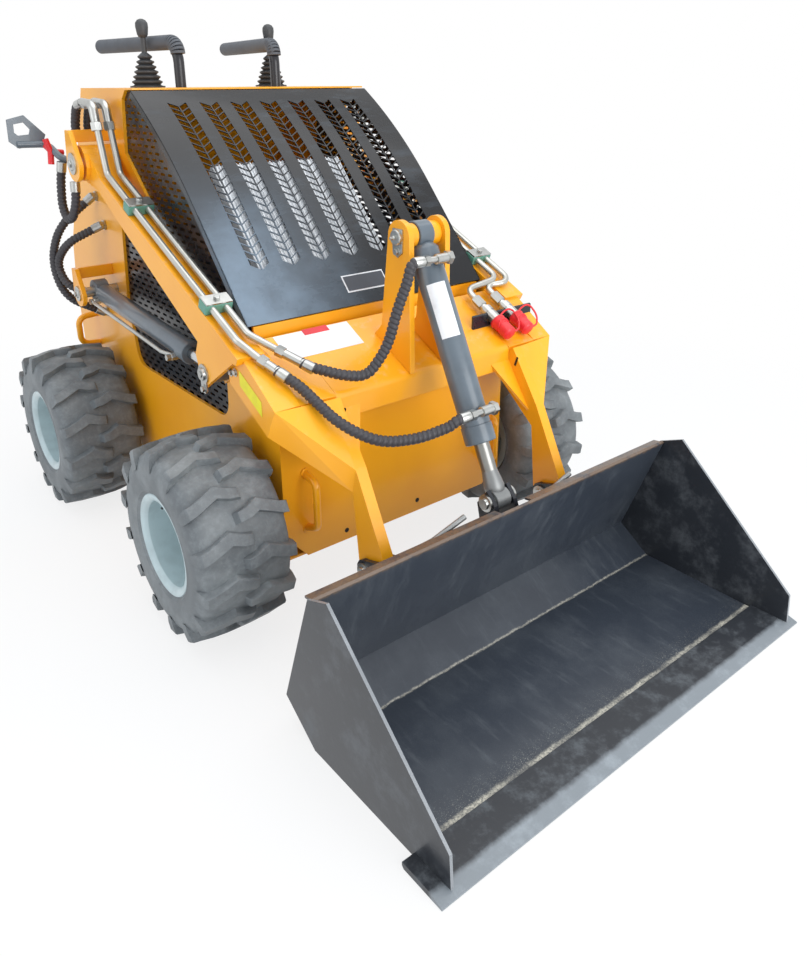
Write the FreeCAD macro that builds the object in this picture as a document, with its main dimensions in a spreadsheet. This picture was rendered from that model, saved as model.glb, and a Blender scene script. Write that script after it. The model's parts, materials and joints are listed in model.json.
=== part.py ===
import FreeCAD, Part
import math
import os
import re
import Sketcher

# Mini skid steer loader: wheeled frame, curved engine hood, lift boom, tilt cylinder, quick-attach plate, bucket.
# Lengths are millimetres. The sketches count y from the front axle, forward being -y, and z from the ground.
# The sheet's axleSetback then moves every sub-part so that the origin lies under the middle of the machine.

doc = FreeCAD.newDocument("MiniSkidSteerLoader")
sheet = doc.addObject("Spreadsheet::Sheet", "Size")

# alias, value, what it is
sizes = [
    ("axleSetback", -107, "front axle from the middle of the overall length"),
    ("runFit", 0.05, "radial clearance of a turning fit"),
    ("seatFit", 0.3, "gap between a moving face and its neighbour"),
    # wheels
    ("wheelBase", 814.5, "front axle to rear axle"),
    ("axleHeight", 228.6, "axle centre above the ground"),
    ("wheelOffset", 475.6, "centre plane of a tyre from the machine's centre plane"),
    ("tyreRadius", 228.6, "to the tips of the lugs"),
    ("tyreHalfWidth", 110, "half of the section width"),
    ("lugDepth", 16, "tread lug above the carcass"),
    ("lugCount", 14, "lugs on each side of a tyre"),
    ("lugReach", 30, "from a lug's middle to its corner, along the tread"),
    ("wheelSides", 20, "flats round a tyre's carcass and its rim"),
    ("beadFit", 0.2, "gap between the bead and its seat"),
    ("rimSeat", 102.8, "radius of the bead seat"),
    ("flangeRadius", 119, "radius of the rim flange"),
    ("rimHalfWidth", 103.2, "half of the width over the rim flanges"),
    ("rimGauge", 5, "rim sheet"),
    ("discInset", 8, "wheel disc inboard of the tyre's centre plane"),
    ("hubRadius", 46, "hub of the wheel"),
    ("shaftRadius", 25, "output shaft of a wheel motor"),
    ("motorRadius", 55, "wheel motor inside the frame"),
    ("motorLength", 100, "wheel motor along its shaft"),
    ("shaftPassage", 40, "radius of the hole in the side plate round a shaft"),
    # frame
    ("sideInner", 332, "inner face of the side plate from the centre plane"),
    ("sideGauge", 8, "side plate"),
    ("frontFace", -120, "front face of the frame"),
    ("frontGauge", 8, "front plate"),
    ("frameBottom", 144, "underside of the frame"),
    ("frontTop", 468, "top of the upright front plate"),
    ("deckY", -18, "rear end of the sloping deck"),
    ("deckZ", 560, "height of the rear end of the deck"),
    ("deckRise", 683.7, "top of the upright behind the deck"),
    ("cornerX", 50, "bottom corner cut of the front plate, across"),
    ("cornerZ", 57, "bottom corner cut of the front plate, up"),
    ("floorGauge", 6, "floor plate"),
    ("sillTop", 429, "lower edge of the side cut-out"),
    ("cutFront", 108, "front edge of the side cut-out"),
    ("cutRear", 640, "rear edge of the side cut-out at the sill"),
    ("pillarTop", 1160, "top edge of the side plate"),
    ("rearFace", 1100, "rear face of the frame"),
    ("rearGauge", 4, "rear sheet"),
    ("dashGauge", 4, "dash plate"),
    ("dashFront", 470, "front edge of the dash"),
    ("dashRear", 825, "rear edge of the dash"),
    ("hoodHalf", 346, "half width of the hood"),
    ("hoodGauge", 3, "hood sheet"),
    ("hoodTopY", 467, "upper edge of the hood"),
    ("hoodTopZ", 1158, "height of the upper edge of the hood"),
    ("hoodBendY", 179, "where the hood's arc meets its flat"),
    ("hoodBendZ", 915, "height where the hood's arc meets its flat"),
    ("hoodLowY", -25, "lower edge of the hood"),
    ("hoodLowZ", 687, "height of the lower edge of the hood"),
    ("hoodRadius", 1353, "radius of the hood's upper arc"),
    ("hoodReturn", 18, "depth of the hood's side flange"),
    ("ventColumns", 7, "columns of chevron vents in the hood"),
    ("ventPitch", 84, "from one column of vents to the next"),
    ("ventRows", 5, "vents in a column"),
    ("ventStep", 68, "from one vent to the next, level"),
    ("ventFront", 56, "nose of the lowest vent"),
    ("ventHalf", 21, "half width of a vent"),
    ("ventSweep", 24, "how far a vent's arms sweep back"),
    ("ventSlot", 26, "slot of a vent, level"),
    ("screenOuter", 331.7, "outer face of the perforated side screen"),
    ("screenGauge", 3, "side screen"),
    ("screenBottom", 395, "lower edge of the side screen"),
    ("screenRear", 700, "rear edge of the side screen"),
    ("engineHalf", 225, "half width of the engine block"),
    ("engineFront", 430, "front of the engine block"),
    ("engineLength", 520, "length of the engine block"),
    ("engineHeight", 600, "height of the engine block above the floor"),
    # pivots on the frame
    ("pivotY", 637, "boom pivot"),
    ("pivotZ", 986, "boom pivot height"),
    ("pivotPin", 20, "boom pivot pin radius"),
    ("liftRearY", 745, "rear pin of the lift cylinder"),
    ("liftRearZ", 630, "rear pin of the lift cylinder, height"),
    ("liftPin", 14, "lift cylinder pin radius"),
    ("earInner", 437, "inner face of a pivot ear from the centre plane"),
    ("earGauge", 12, "pivot ear"),
    ("pivotEarRadius", 45, "round of the boom pivot ear"),
    ("liftEarRadius", 36, "round of the lift pin ear"),
    ("webGauge", 10, "plate that joins an ear to the side plate"),
    # boom
    ("armInner", 356, "inner face of the boom arm"),
    ("armWidth", 64, "width of the boom arm"),
    ("cheekGauge", 12, "side plate of the boom arm"),
    ("armEye", 44, "round of the arm's rear eye"),
    ("bossInner", 345, "inner end of the arm's boss"),
    ("bossLength", 85, "length of the arm's boss"),
    ("liftFrontY", 50, "front pin of the lift cylinder"),
    ("liftFrontZ", 578, "front pin of the lift cylinder, height"),
    ("boxInner", 345, "inner face of the lower box"),
    ("boxWidth", 60, "width of the lower box"),
    ("foldY", -222, "front fold of the boom's top plate"),
    ("foldZ", 567, "height of the front fold"),
    ("plateRearY", -44, "rear edge of the boom's top plate"),
    ("plateRearZ", 660.5, "height of the rear edge of the boom's top plate"),
    ("boomGauge", 10, "boom plate"),
    ("lipBottom", 512, "lower edge of the boom's front lip"),
    ("armNoseY", -111, "front end of the boom arm"),
    ("armNoseZ", 651.5, "height of the boom arm's front end"),
    ("boxRise", 645, "height of the lower box where it meets the arm"),
    ("gussetReach", 70, "gusset inboard of a leg"),
    ("gussetGauge", 8, "gusset between a leg and the front lip"),
    ("legInner", 257, "inner face of a leg"),
    ("legGauge", 26, "width of a leg"),
    ("bucketPinY", -360, "bucket hinge"),
    ("bucketPinZ", 226, "bucket hinge height"),
    ("bucketPin", 15, "bucket hinge pin radius"),
    ("legEye", 36, "round of the leg's lower end"),
    ("tiltTopY", -183, "top pin of the tilt cylinder"),
    ("tiltTopZ", 866, "height of the top pin of the tilt cylinder"),
    ("tiltPin", 15, "tilt cylinder pin radius"),
    ("tiltEarInner", 44, "inner face of a tilt ear"),
    ("tiltEarGauge", 14, "tilt ear"),
    ("tiltEarRadius", 36, "round of the tilt ear"),
    # cylinders
    ("liftBarrel", 25, "lift cylinder barrel radius"),
    ("liftGland", 575, "end of the lift barrel from its rear pin"),
    ("liftRod", 14, "lift cylinder rod radius"),
    ("liftRodReach", 560, "length of a lift rod from its front pin"),
    ("liftEye", 26, "lift cylinder eye radius"),
    ("liftPlane", 388, "lift cylinder from the centre plane"),
    ("liftEyeWidth", 36, "width of a lift cylinder eye"),
    ("tiltBarrel", 32.5, "tilt cylinder barrel radius"),
    ("tiltGland", 470, "end of the tilt barrel from its top pin"),
    ("tiltRod", 17, "tilt cylinder rod radius"),
    ("tiltRodReach", 450, "length of the tilt rod from its lower pin"),
    ("tiltEye", 30, "tilt barrel eye radius"),
    ("tiltRodEye", 23, "tilt rod eye radius"),
    ("tiltEyeWidth", 40, "width of a tilt cylinder eye"),
    # quick-attach plate and bucket
    ("tiltLowY", -447, "lower pin of the tilt cylinder"),
    ("tiltLowZ", 332, "height of the lower pin of the tilt cylinder"),
    ("attachHalf", 445, "half width of the quick-attach plate"),
    ("attachGauge", 10, "quick-attach plate"),
    ("lugGap", 3, "gap between a leg and a hinge lug"),
    ("hingeLug", 10, "hinge lug"),
    ("bucketHalf", 517, "half width of the bucket shell"),
    ("bucketGauge", 5, "bucket sheet"),
    ("bucketSide", 6, "bucket side plate"),
    ("lipY", -512, "upper lip of the bucket"),
    ("lipZ", 336, "height of the upper lip"),
    ("heelY", -414, "rear fold of the bucket"),
    ("heelZ", 68, "height of the rear fold"),
    ("soleY", -500, "rear end of the bucket floor"),
    ("soleZ", 10, "height of the rear end of the floor inside"),
    ("edgeRear", -790, "rear side of the cutting edge"),
    ("edgeTip", -886, "tip of the cutting edge"),
    ("edgeHalf", 550, "half length of the cutting edge"),
    ("edgeGauge", 12, "cutting edge"),
    ("flangeReach", 26, "flange behind the bucket's upper lip"),
    ("flangeNotch", 46, "half width of the flange's gap at the tilt ears"),
    # hydraulic pipes, hoses and couplers
    ("pipeRadius", 8, "steel pipe on an arm"),
    ("pipeOuter", 404, "outer pipe from the centre plane"),
    ("pipeInner", 372, "inner pipe from the centre plane"),
    ("pipeRise", 16, "pipe centre above the arm"),
    ("pipeBend", 26, "bend radius of a pipe"),
    ("clampWidth", 64, "pipe clamp across the arm"),
    ("clampLength", 36, "pipe clamp along the arm"),
    ("clampHeight", 30, "pipe clamp above the arm"),
    ("hoseRadius", 11, "hose with its spiral guard"),
    ("portUpper", 70, "upper port of the tilt barrel from its top pin"),
    ("portLower", 405, "lower port of the tilt barrel from its top pin"),
    ("portReach", 52, "end of a port's elbow from the centre plane"),
    ("portHead", 28, "bolt head of a port from the centre plane"),
    ("couplerLeft", 265, "inboard coupler from the centre plane"),
    ("couplerRight", 330, "outboard coupler from the centre plane"),
    ("couplerRear", -104, "rear end of a coupler"),
    ("couplerRise", 26, "coupler axis above the boom's top plate"),
    ("couplerBody", 15, "coupler body radius"),
    ("couplerCap", 18, "coupler dust cap radius"),
    ("couplerPlate", -152, "bracket that holds the couplers"),
    # controls
    ("leverOffset", 192, "control lever from the centre plane"),
    ("leverY", 725, "control lever"),
    ("bootRadius", 40, "foot of a lever boot"),
    ("bootTop", 1250, "top of a lever boot"),
    ("knobTop", 1335, "top of a lever knob"),
    ("barRadius", 19, "hand bar tube"),
    ("barFootX", 145, "foot of a hand bar from the centre plane"),
    ("barFootY", 620, "foot of a hand bar"),
    ("barTop", 1275, "centre line of the hand bar's level run"),
    ("barEndX", 200, "end of a hand bar from the centre plane"),
    ("barEndY", 1010, "end of a hand bar"),
    ("barBend", 70, "bend radius of a hand bar"),
]
for row, (alias, value, note) in enumerate(sizes, 1):
    sheet.set("A%d" % row, note)
    sheet.set("B%d" % row, str(value))
    sheet.setAlias("B%d" % row, alias)
doc.recompute()

aliases = {alias for alias, value, note in sizes}
sub_parts = []


def formula(text):
    """The expression with each size named through the sheet."""
    return re.sub(r"[A-Za-z]+", lambda word: "Size." + word[0] if word[0] in aliases else word[0], str(text))


def number(text):
    """The present value of an expression."""
    return float(sheet.evalExpression(formula(text).replace("Size.", "")))


def finish(piece, label):
    """Name a sub-part and move it from the front axle to the machine's middle."""
    piece.Label = label
    piece.setExpression("Placement.Base.y", formula("axleSetback"))
    sub_parts.append(piece)
    return piece


def new_body(name):
    return doc.addObject("PartDesign::Body", name)


def origin_plane(body, role):
    return next(plane for plane in body.Origin.OriginFeatures if plane.Role == role)


def add_segment(sketch, begin, end, radius):
    """A line, or an arc whose centre lies left of the way from begin to end; returns its start point's number."""
    start = FreeCAD.Vector(*begin, 0)
    stop = FreeCAD.Vector(*end, 0)
    if radius is None:
        return sketch.addGeometry(Part.LineSegment(start, stop), False), 1, 2
    chord = stop - start
    bend = number(radius)
    rise = math.sqrt(bend * bend - chord.Length * chord.Length / 4)
    left = FreeCAD.Vector(-chord.y, chord.x, 0).normalize()
    centre = (start + stop) / 2 + left * math.copysign(rise, bend)
    middle = centre - left * bend
    geometry = sketch.addGeometry(Part.Arc(start, middle, stop), False)
    constraint = sketch.addConstraint(Sketcher.Constraint("Radius", geometry, abs(bend)))
    sketch.setExpression("Constraints[%d]" % constraint, "abs(%s)" % formula(radius))
    return (geometry, 1, 2) if bend > 0 else (geometry, 2, 1)


def draw_loop(sketch, loop):
    """A circle (u, v, radius), or a closed outline of points (u, v) or (u, v, radius of the arc that follows)."""
    if not isinstance(loop, list):
        u, v, radius = (number(text) for text in loop)
        circle = sketch.addGeometry(Part.Circle(FreeCAD.Vector(u, v, 0), FreeCAD.Vector(0, 0, 1), radius), False)
        pin = [("DistanceX", loop[0], 3), ("DistanceY", loop[1], 3)]
        for kind, text, point in pin:
            index = sketch.addConstraint(Sketcher.Constraint(kind, -1, 1, circle, point, number(text)))
            sketch.setExpression("Constraints[%d]" % index, formula(text))
        index = sketch.addConstraint(Sketcher.Constraint("Radius", circle, radius))
        sketch.setExpression("Constraints[%d]" % index, formula(loop[2]))
        return
    corners = [(number(point[0]), number(point[1])) for point in loop]
    segments = []
    for place, point in enumerate(loop):
        bend = point[2] if len(point) == 3 else None
        segments.append(add_segment(sketch, corners[place], corners[(place + 1) % len(loop)], bend))
    for place, (geometry, first, last) in enumerate(segments):
        after, after_first, after_last = segments[(place + 1) % len(loop)]
        sketch.addConstraint(Sketcher.Constraint("Coincident", geometry, last, after, after_first))
        for kind, text in (("DistanceX", loop[place][0]), ("DistanceY", loop[place][1])):
            index = sketch.addConstraint(Sketcher.Constraint(kind, -1, 1, geometry, first, number(text)))
            sketch.setExpression("Constraints[%d]" % index, formula(text))


def draw(body, role, offset, loops):
    """A sketch on an origin plane of the body, moved along the plane's normal."""
    sketch = body.newObject("Sketcher::SketchObject", "Outline")
    sketch.AttachmentSupport = [(origin_plane(body, role), "")]
    sketch.MapMode = "FlatFace"
    sketch.setExpression("AttachmentOffset.Base.z", formula(offset))
    for loop in loops:
        draw_loop(sketch, loop)
    return sketch


def pad(body, role, offset, depth, *loops):
    feature = body.newObject("PartDesign::Pad", "Pad")
    feature.Profile = draw(body, role, offset, loops)
    feature.setExpression("Length", formula(depth))
    return body


def pocket(body, role, offset, depth, *loops):
    """Cut from the sketch against the plane's normal; the volume has to fall."""
    doc.recompute()
    before = body.Shape.Volume
    feature = body.newObject("PartDesign::Pocket", "Pocket")
    feature.Profile = draw(body, role, offset, loops)
    feature.setExpression("Length", formula(depth))
    doc.recompute()
    if body.Shape.Volume >= before:
        raise RuntimeError("a pocket of %s cuts nothing" % body.Name)
    return body


def round_along_x(body, radius, *corners):
    """Fillet the edges that run along x through the named corners (y, z)."""
    doc.recompute()
    places = [(number(y), number(z)) for y, z in corners]
    found = []
    for count, edge in enumerate(body.Shape.Edges, 1):
        ends = [vertex.Point for vertex in edge.Vertexes]
        for y, z in places:
            if len(ends) == 2 and all(math.hypot(end.y - y, end.z - z) < 0.01 for end in ends):
                found.append("Edge%d" % count)
    base = body.Tip
    feature = body.newObject("PartDesign::Fillet", "Fillet")
    feature.Base = (base, found)
    feature.setExpression("Radius", formula(radius))
    return body


def flats(u, v, radius, sides=12):
    """A round end drawn as a regular outline of flats about the place (u, v)."""
    turns = [2 * math.pi * (step + 0.5) / sides for step in range(sides)]
    return [("%s + (%s) * %.5f" % (u, radius, math.cos(turn)), "%s + (%s) * %.5f" % (v, radius, math.sin(turn)))
            for turn in turns]


def plate(name, start, depth, *loops):
    """A plate across x, from start towards +x, with its outline in y and z."""
    return pad(new_body(name), "YZ_Plane", start, depth, *loops)


def both_sides(pieces, label):
    """The pieces with their mirror images, as one sub-part."""
    group = list(pieces)
    for piece in pieces:
        mirror = doc.addObject("Part::Mirroring", "Mirror")
        mirror.Source = piece
        mirror.Normal = FreeCAD.Vector(1, 0, 0)
        mirror.Base = FreeCAD.Vector(0, 0, 0)
        group.append(mirror)
    compound = doc.addObject("Part::Compound", label)
    compound.Links = group
    return finish(compound, label)


def across(name, radius, start, length, y, z):
    """A round bar along x."""
    bar = doc.addObject("Part::Cylinder", name)
    bar.Placement = FreeCAD.Placement(FreeCAD.Vector(), FreeCAD.Rotation(FreeCAD.Vector(0, 1, 0), 90))
    for place, text in (("Radius", radius), ("Height", length), ("Placement.Base.x", start),
                        ("Placement.Base.y", y), ("Placement.Base.z", z)):
        bar.setExpression(place, formula(text))
    return bar


def fuse(name, pieces):
    union = doc.addObject("Part::MultiFuse", name)
    union.Shapes = pieces
    return union


def mirrored(shape):
    """The shape and its mirror image across the machine's centre plane."""
    return Part.makeCompound([shape, shape.mirror(FreeCAD.Vector(), FreeCAD.Vector(1, 0, 0))])


def faceted_ring(rows, sides, lead=0):
    """A ring about the x axis through the corners (x, radius), its rounds made of equal flats."""
    corners = []
    for step in range(sides):
        turn = 2 * math.pi * (step + lead) / sides
        corners.append([FreeCAD.Vector(x, radius * math.sin(turn), radius * math.cos(turn)) for x, radius in rows])
    faces = []
    for here, there in zip(corners, corners[1:] + corners[:1]):
        for place in range(len(rows)):
            after = (place + 1) % len(rows)
            loop = [here[place], here[after], there[after], there[place], here[place]]
            faces.append(Part.Face(Part.makePolygon(loop)))
    ring = Part.makeSolid(Part.makeShell(faces))
    if ring.Volume < 0:
        ring.reverse()
    return ring


def sections_solid(sections):
    """The solid through a row of polygons with as many corners each, closed by the first and the last."""
    faces = [Part.Face(Part.makePolygon(ends + ends[:1])) for ends in (sections[0], sections[-1])]
    for here, there in zip(sections, sections[1:]):
        for place in range(len(here)):
            after = (place + 1) % len(here)
            loop = [here[place], here[after], there[after], there[place], here[place]]
            faces.append(Part.Face(Part.makePolygon(loop)))
    solid = Part.makeSolid(Part.makeShell(faces))
    if solid.Volume < 0:
        solid.reverse()
    return solid


def faceted_pin(rows, sides):
    """A turned piece along the x axis from its ends and steps (x, radius), its rounds made of flats."""
    turns = [2 * math.pi * step / sides for step in range(sides)]
    return sections_solid([[FreeCAD.Vector(x, radius * math.cos(turn), radius * math.sin(turn)) for turn in turns]
                           for x, radius in rows])


def laid(shape, start, stop):
    """A shape drawn along the x axis, laid from start towards stop."""
    shape.Placement = FreeCAD.Placement(start, FreeCAD.Rotation(FreeCAD.Vector(1, 0, 0), stop - start))
    return shape


def shape_part(label, shape):
    """A sub-part whose shape is worked out from the sheet's values."""
    piece = doc.addObject("Part::Feature", label)
    piece.Shape = shape
    piece.Placement = FreeCAD.Placement(FreeCAD.Vector(0, number("axleSetback"), 0), FreeCAD.Rotation())
    return finish(piece, label)


# Frame: two side plates, each one piece from the front upstand over the sill to the rear pillar
side = plate("SidePlate", "sideInner", "sideGauge", [
    ("frontFace", "frameBottom"), ("rearFace - 50", "frameBottom"), ("rearFace", "frameBottom + 106"),
    ("rearFace", "600"), ("rearFace - 23", "720"), ("dashRear", "pillarTop"), ("hoodTopY + 51", "pillarTop"),
    ("hoodTopY + 77", "1138"), ("hoodTopY + 96", "1010"), ("hoodTopY - 13", "909"), ("cutRear + 10", "814"),
    ("cutRear + 36", "602"), ("cutRear", "sillTop"), ("cutFront", "sillTop"), ("cutFront - 8", "600"),
    ("deckY", "600"), ("deckY", "deckZ"), ("frontFace", "frontTop")])
pocket(side, "YZ_Plane", "sideInner + sideGauge", "sideGauge",
       flats("0", "axleHeight", "shaftPassage"), flats("wheelBase", "axleHeight", "shaftPassage"))
round_along_x(side, "45", ("cutFront", "sillTop"), ("cutRear", "sillTop"))
both_sides([side], "frame_sides")

# Front: an upright plate with cut bottom corners, and the bent deck above it
front = pad(new_body("FrontPlate"), "XZ_Plane", "-frontFace - frontGauge", "frontGauge", [
    ("-sideInner + cornerX", "frameBottom"), ("sideInner - cornerX", "frameBottom"),
    ("sideInner", "frameBottom + cornerZ"), ("sideInner", "frontTop"), ("-sideInner", "frontTop"),
    ("-sideInner", "frameBottom + cornerZ")])
finish(front, "front_plate")

deck = plate("Deck", "-sideInner", "2 * sideInner", [
    ("frontFace", "frontTop"), ("frontFace + frontGauge", "frontTop"), ("deckY", "deckZ - 4"),
    ("deckY", "deckRise"), ("deckY - frontGauge", "deckRise"), ("deckY - frontGauge", "deckZ")])
finish(deck, "front_deck")

floor = pad(new_body("Floor"), "XY_Plane", "frameBottom", "floorGauge", [
    ("-sideInner", "frontFace + frontGauge"), ("sideInner", "frontFace + frontGauge"),
    ("sideInner", "rearFace - 50 - rearGauge"), ("-sideInner", "rearFace - 50 - rearGauge")])
finish(floor, "frame_floor")

rear = plate("RearSheet", "-sideInner", "2 * sideInner", [
    ("rearFace - 50", "frameBottom"), ("rearFace", "frameBottom + 106"), ("rearFace", "600"),
    ("rearFace - 23", "720"), ("dashRear", "pillarTop"), ("dashRear - rearGauge", "pillarTop"),
    ("rearFace - 23 - rearGauge", "720"), ("rearFace - rearGauge", "600"),
    ("rearFace - rearGauge", "frameBottom + 106"), ("rearFace - 50 - rearGauge", "frameBottom")])
finish(rear, "rear_sheet")

dash = pad(new_body("Dash"), "XY_Plane", "pillarTop", "dashGauge", [
    ("-sideInner - sideGauge", "dashFront"), ("sideInner + sideGauge", "dashFront"),
    ("sideInner + sideGauge", "dashRear"), ("-sideInner - sideGauge", "dashRear")])
finish(dash, "dash_plate")

# Hood: one sheet, flat below and arched above, with a flange down each side
arch = [("hoodLowY", "hoodLowZ"), ("hoodBendY", "hoodBendZ", "-hoodRadius"), ("hoodTopY", "hoodTopZ")]
under = [("hoodTopY + 2", "hoodTopZ - hoodGauge", "hoodRadius"), ("hoodBendY + 2", "hoodBendZ - hoodGauge"),
         ("hoodLowY + 2", "hoodLowZ - hoodGauge")]
hood = plate("Hood", "-hoodHalf", "2 * hoodHalf", arch + under)
deep = [("hoodTopY + 11", "hoodTopZ - hoodReturn", "hoodRadius"),
        ("hoodBendY + 14", "hoodBendZ - hoodReturn + 4"), ("hoodLowY + 14", "hoodLowZ - hoodReturn + 4")]
for start in ("-hoodHalf", "hoodHalf - hoodGauge"):
    pad(hood, "YZ_Plane", start, "hoodGauge", arch + deep)
nose = "-ventPitch * (ventColumns - 1) / 2"
vent = pocket(hood, "XY_Plane", "hoodTopZ + 1", "hoodTopZ - hoodLowZ", [
    (nose, "ventFront"), (nose + " + ventHalf", "ventFront + ventSweep"),
    (nose + " + ventHalf", "ventFront + ventSweep + ventSlot"), (nose, "ventFront + ventSlot"),
    (nose + " - ventHalf", "ventFront + ventSweep + ventSlot"), (nose + " - ventHalf", "ventFront + ventSweep")]).Tip
grid = hood.newObject("PartDesign::MultiTransform", "VentGrid")
runs = []
for axis, count, step in (("H_Axis", "ventColumns", "ventPitch"), ("V_Axis", "ventRows", "ventStep")):
    run = hood.newObject("PartDesign::LinearPattern", "Vents")
    run.Direction = (vent.Profile[0], [axis])
    run.setExpression("Occurrences", formula(count))
    run.setExpression("Length", formula("(%s - 1) * %s" % (count, step)))
    runs.append(run)
grid.Originals = [vent]
grid.Transformations = runs
hood.Tip = grid
finish(hood, "hood_cover")

# Perforated screens below the hood's edges, inside the side plates
screen = plate("Screen", "screenOuter - screenGauge", "screenGauge", [
    ("deckY + 2", "screenBottom"), ("screenRear", "screenBottom"), ("screenRear", "pillarTop - 2"),
    ("hoodTopY + 14", "pillarTop - 2"), ("hoodTopY + 14", "hoodTopZ - 22", "hoodRadius"),
    ("hoodBendY + 18", "hoodBendZ - 18"), ("deckY + 2", "hoodLowZ - 18")])
both_sides([screen], "side_screens")

engine = doc.addObject("Part::Box", "Engine")
for place, text in (("Length", "2 * engineHalf"), ("Width", "engineLength"), ("Height", "engineHeight"),
                    ("Placement.Base.x", "-engineHalf"), ("Placement.Base.z", "frameBottom + floorGauge")):
    engine.setExpression(place, formula(text))
engine.Label = "engine_block"
engine.setExpression("Placement.Base.y", formula("engineFront + axleSetback"))
sub_parts.append(engine)

# Wheel motors: each a round body against the side plate, with its shaft through the plate
motors = []
for axle in ("0", "wheelBase"):
    motor = plate("Motor", "sideInner - motorLength", "motorLength", flats(axle, "axleHeight", "motorRadius", 8))
    shaft = across("Shaft", "shaftRadius", "sideInner - 1", "wheelOffset - sideInner + 10", axle, "axleHeight")
    motors.append(fuse("WheelMotor", [motor, shaft]))
both_sides(motors, "wheel_motors")

# Brackets outside the side plates: a pear-shaped ear and the web that joins it to the plate
brackets = []
for y, z, radius, top in (("pivotY", "pivotZ", "pivotEarRadius", "80"),
                          ("liftRearY", "liftRearZ", "liftEarRadius", "67")):
    rise = "%s + %s" % (z, top)
    ear = plate("Bracket", "earInner", "earGauge", [
        (y + " - " + radius, z), (y + " + " + radius, z), (y + " + 30", rise), (y + " + 3", rise)])
    pad(ear, "YZ_Plane", "earInner", "earGauge", flats(y, z, radius))
    pad(ear, "YZ_Plane", "sideInner + sideGauge", "earInner - sideInner - sideGauge", [
        (y + " + 15", rise + " - 30"), (y + " + 15 + webGauge", rise + " - 30"), (y + " + 15 + webGauge", rise),
        (y + " + 15", rise)])
    pin = "pivotPin" if y == "pivotY" else "liftPin"
    pocket(ear, "YZ_Plane", "earInner + earGauge", "earGauge", flats(y, z, "(%s + runFit) * 1.036" % pin))
    brackets.append(ear)
both_sides(brackets, "pivot_brackets")

pins = []
for name, y, z, radius in (("PivotPin", "pivotY", "pivotZ", "pivotPin"),
                           ("LiftPin", "liftRearY", "liftRearZ", "liftPin")):
    shank = across(name, radius, "sideInner + sideGauge", "earInner + earGauge - sideInner - sideGauge + 1", y, z)
    head = plate(name + "Head", "earInner + earGauge", "7", flats(y, z, radius + " + 8", 8))
    pins.append(fuse(name + "Set", [shank, head]))
both_sides(pins, "frame_pins")

# Control levers: a bellows boot of three folds, the stem and its grip
folds = []
for fold in (0, 1, 2):
    low = (number("bootTop") - number("pillarTop + dashGauge")) * fold / 3
    wide = number("bootRadius") * (1 - 0.25 * fold)
    folds += [(low, wide), (low + 9, wide), (low + 15, wide - 8)]
boot_height = number("bootTop - pillarTop - dashGauge")
grip_top = number("knobTop - pillarTop - dashGauge")
lever = faceted_pin(folds + [(boot_height, 12), (boot_height + 4, 6), (grip_top - 44, 6), (grip_top - 38, 13),
                             (grip_top - 10, 15), (grip_top, 8)], 8)
lever_foot = FreeCAD.Vector(number("leverOffset"), number("leverY"), number("pillarTop + dashGauge"))
laid(lever, lever_foot, lever_foot + FreeCAD.Vector(0, 0, 1))
shape_part("control_levers", mirrored(lever))


def rounded_path(points, bend=None):
    """The points of a route whose corners are tangent arcs, each of short straight steps."""
    path = [points[0]]
    for before, corner, after in zip(points, points[1:], points[2:]):
        back = before - corner
        onward = after - corner
        turn = math.pi - back.getAngle(onward)
        radius = bend or 0.45 * min(back.Length, onward.Length) / math.tan(turn / 2)
        reach = radius * math.tan(turn / 2)
        back.normalize()
        onward.normalize()
        centre = corner + (back + onward).normalize() * (radius / math.cos(turn / 2))
        first = corner + back * reach
        axis = back.cross(onward)
        steps = max(2, round(math.degrees(turn) / 25))
        for step in range(steps + 1):
            swing = FreeCAD.Rotation(axis, -math.degrees(turn) * step / steps)
            path.append(centre + swing.multVec(first - centre))
    return path + [points[-1]]


def bent_tube(points, radius, bend=None, sides=6):
    """A bar of flats along straight runs joined by arcs, mitred at every step; points are vectors."""
    path = rounded_path(points, bend)
    turns = [2 * math.pi * (step + 0.5) / sides for step in range(sides)]
    ring = [FreeCAD.Vector(0, radius * math.cos(turn), radius * math.sin(turn)) for turn in turns]
    lay = FreeCAD.Rotation(FreeCAD.Vector(1, 0, 0), path[1] - path[0])
    sections = [[path[0] + lay.multVec(corner) for corner in ring]]
    length = 0
    for place in range(1, len(path)):
        way = (path[place] - path[place - 1]).normalize()
        length += (path[place] - path[place - 1]).Length
        ahead = (path[place + 1] - path[place]).normalize() if place + 1 < len(path) else way
        mitre = (way + ahead).normalize()
        sections.append([corner + way * ((path[place] - corner).dot(mitre) / way.dot(mitre))
                         for corner in sections[-1]])
    tube = sections_solid(sections)
    ideal = 0.5 * sides * math.sin(2 * math.pi / sides) * radius * radius * length
    if abs(tube.Volume - ideal) > 0.02 * ideal:
        raise RuntimeError("a bent tube has the wrong volume")
    return tube


def vectors(*rows):
    return [FreeCAD.Vector(*(number(text) for text in row)) for row in rows]


bar_route = vectors(("barFootX", "barFootY", "pillarTop + dashGauge"), ("barFootX", "barFootY", "barTop"),
                    ("barEndX", "barEndY", "barTop"))
bar = bent_tube(bar_route, number("barRadius"), number("barBend"), 10)
shape_part("hand_bars", mirrored(bar))

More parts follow.
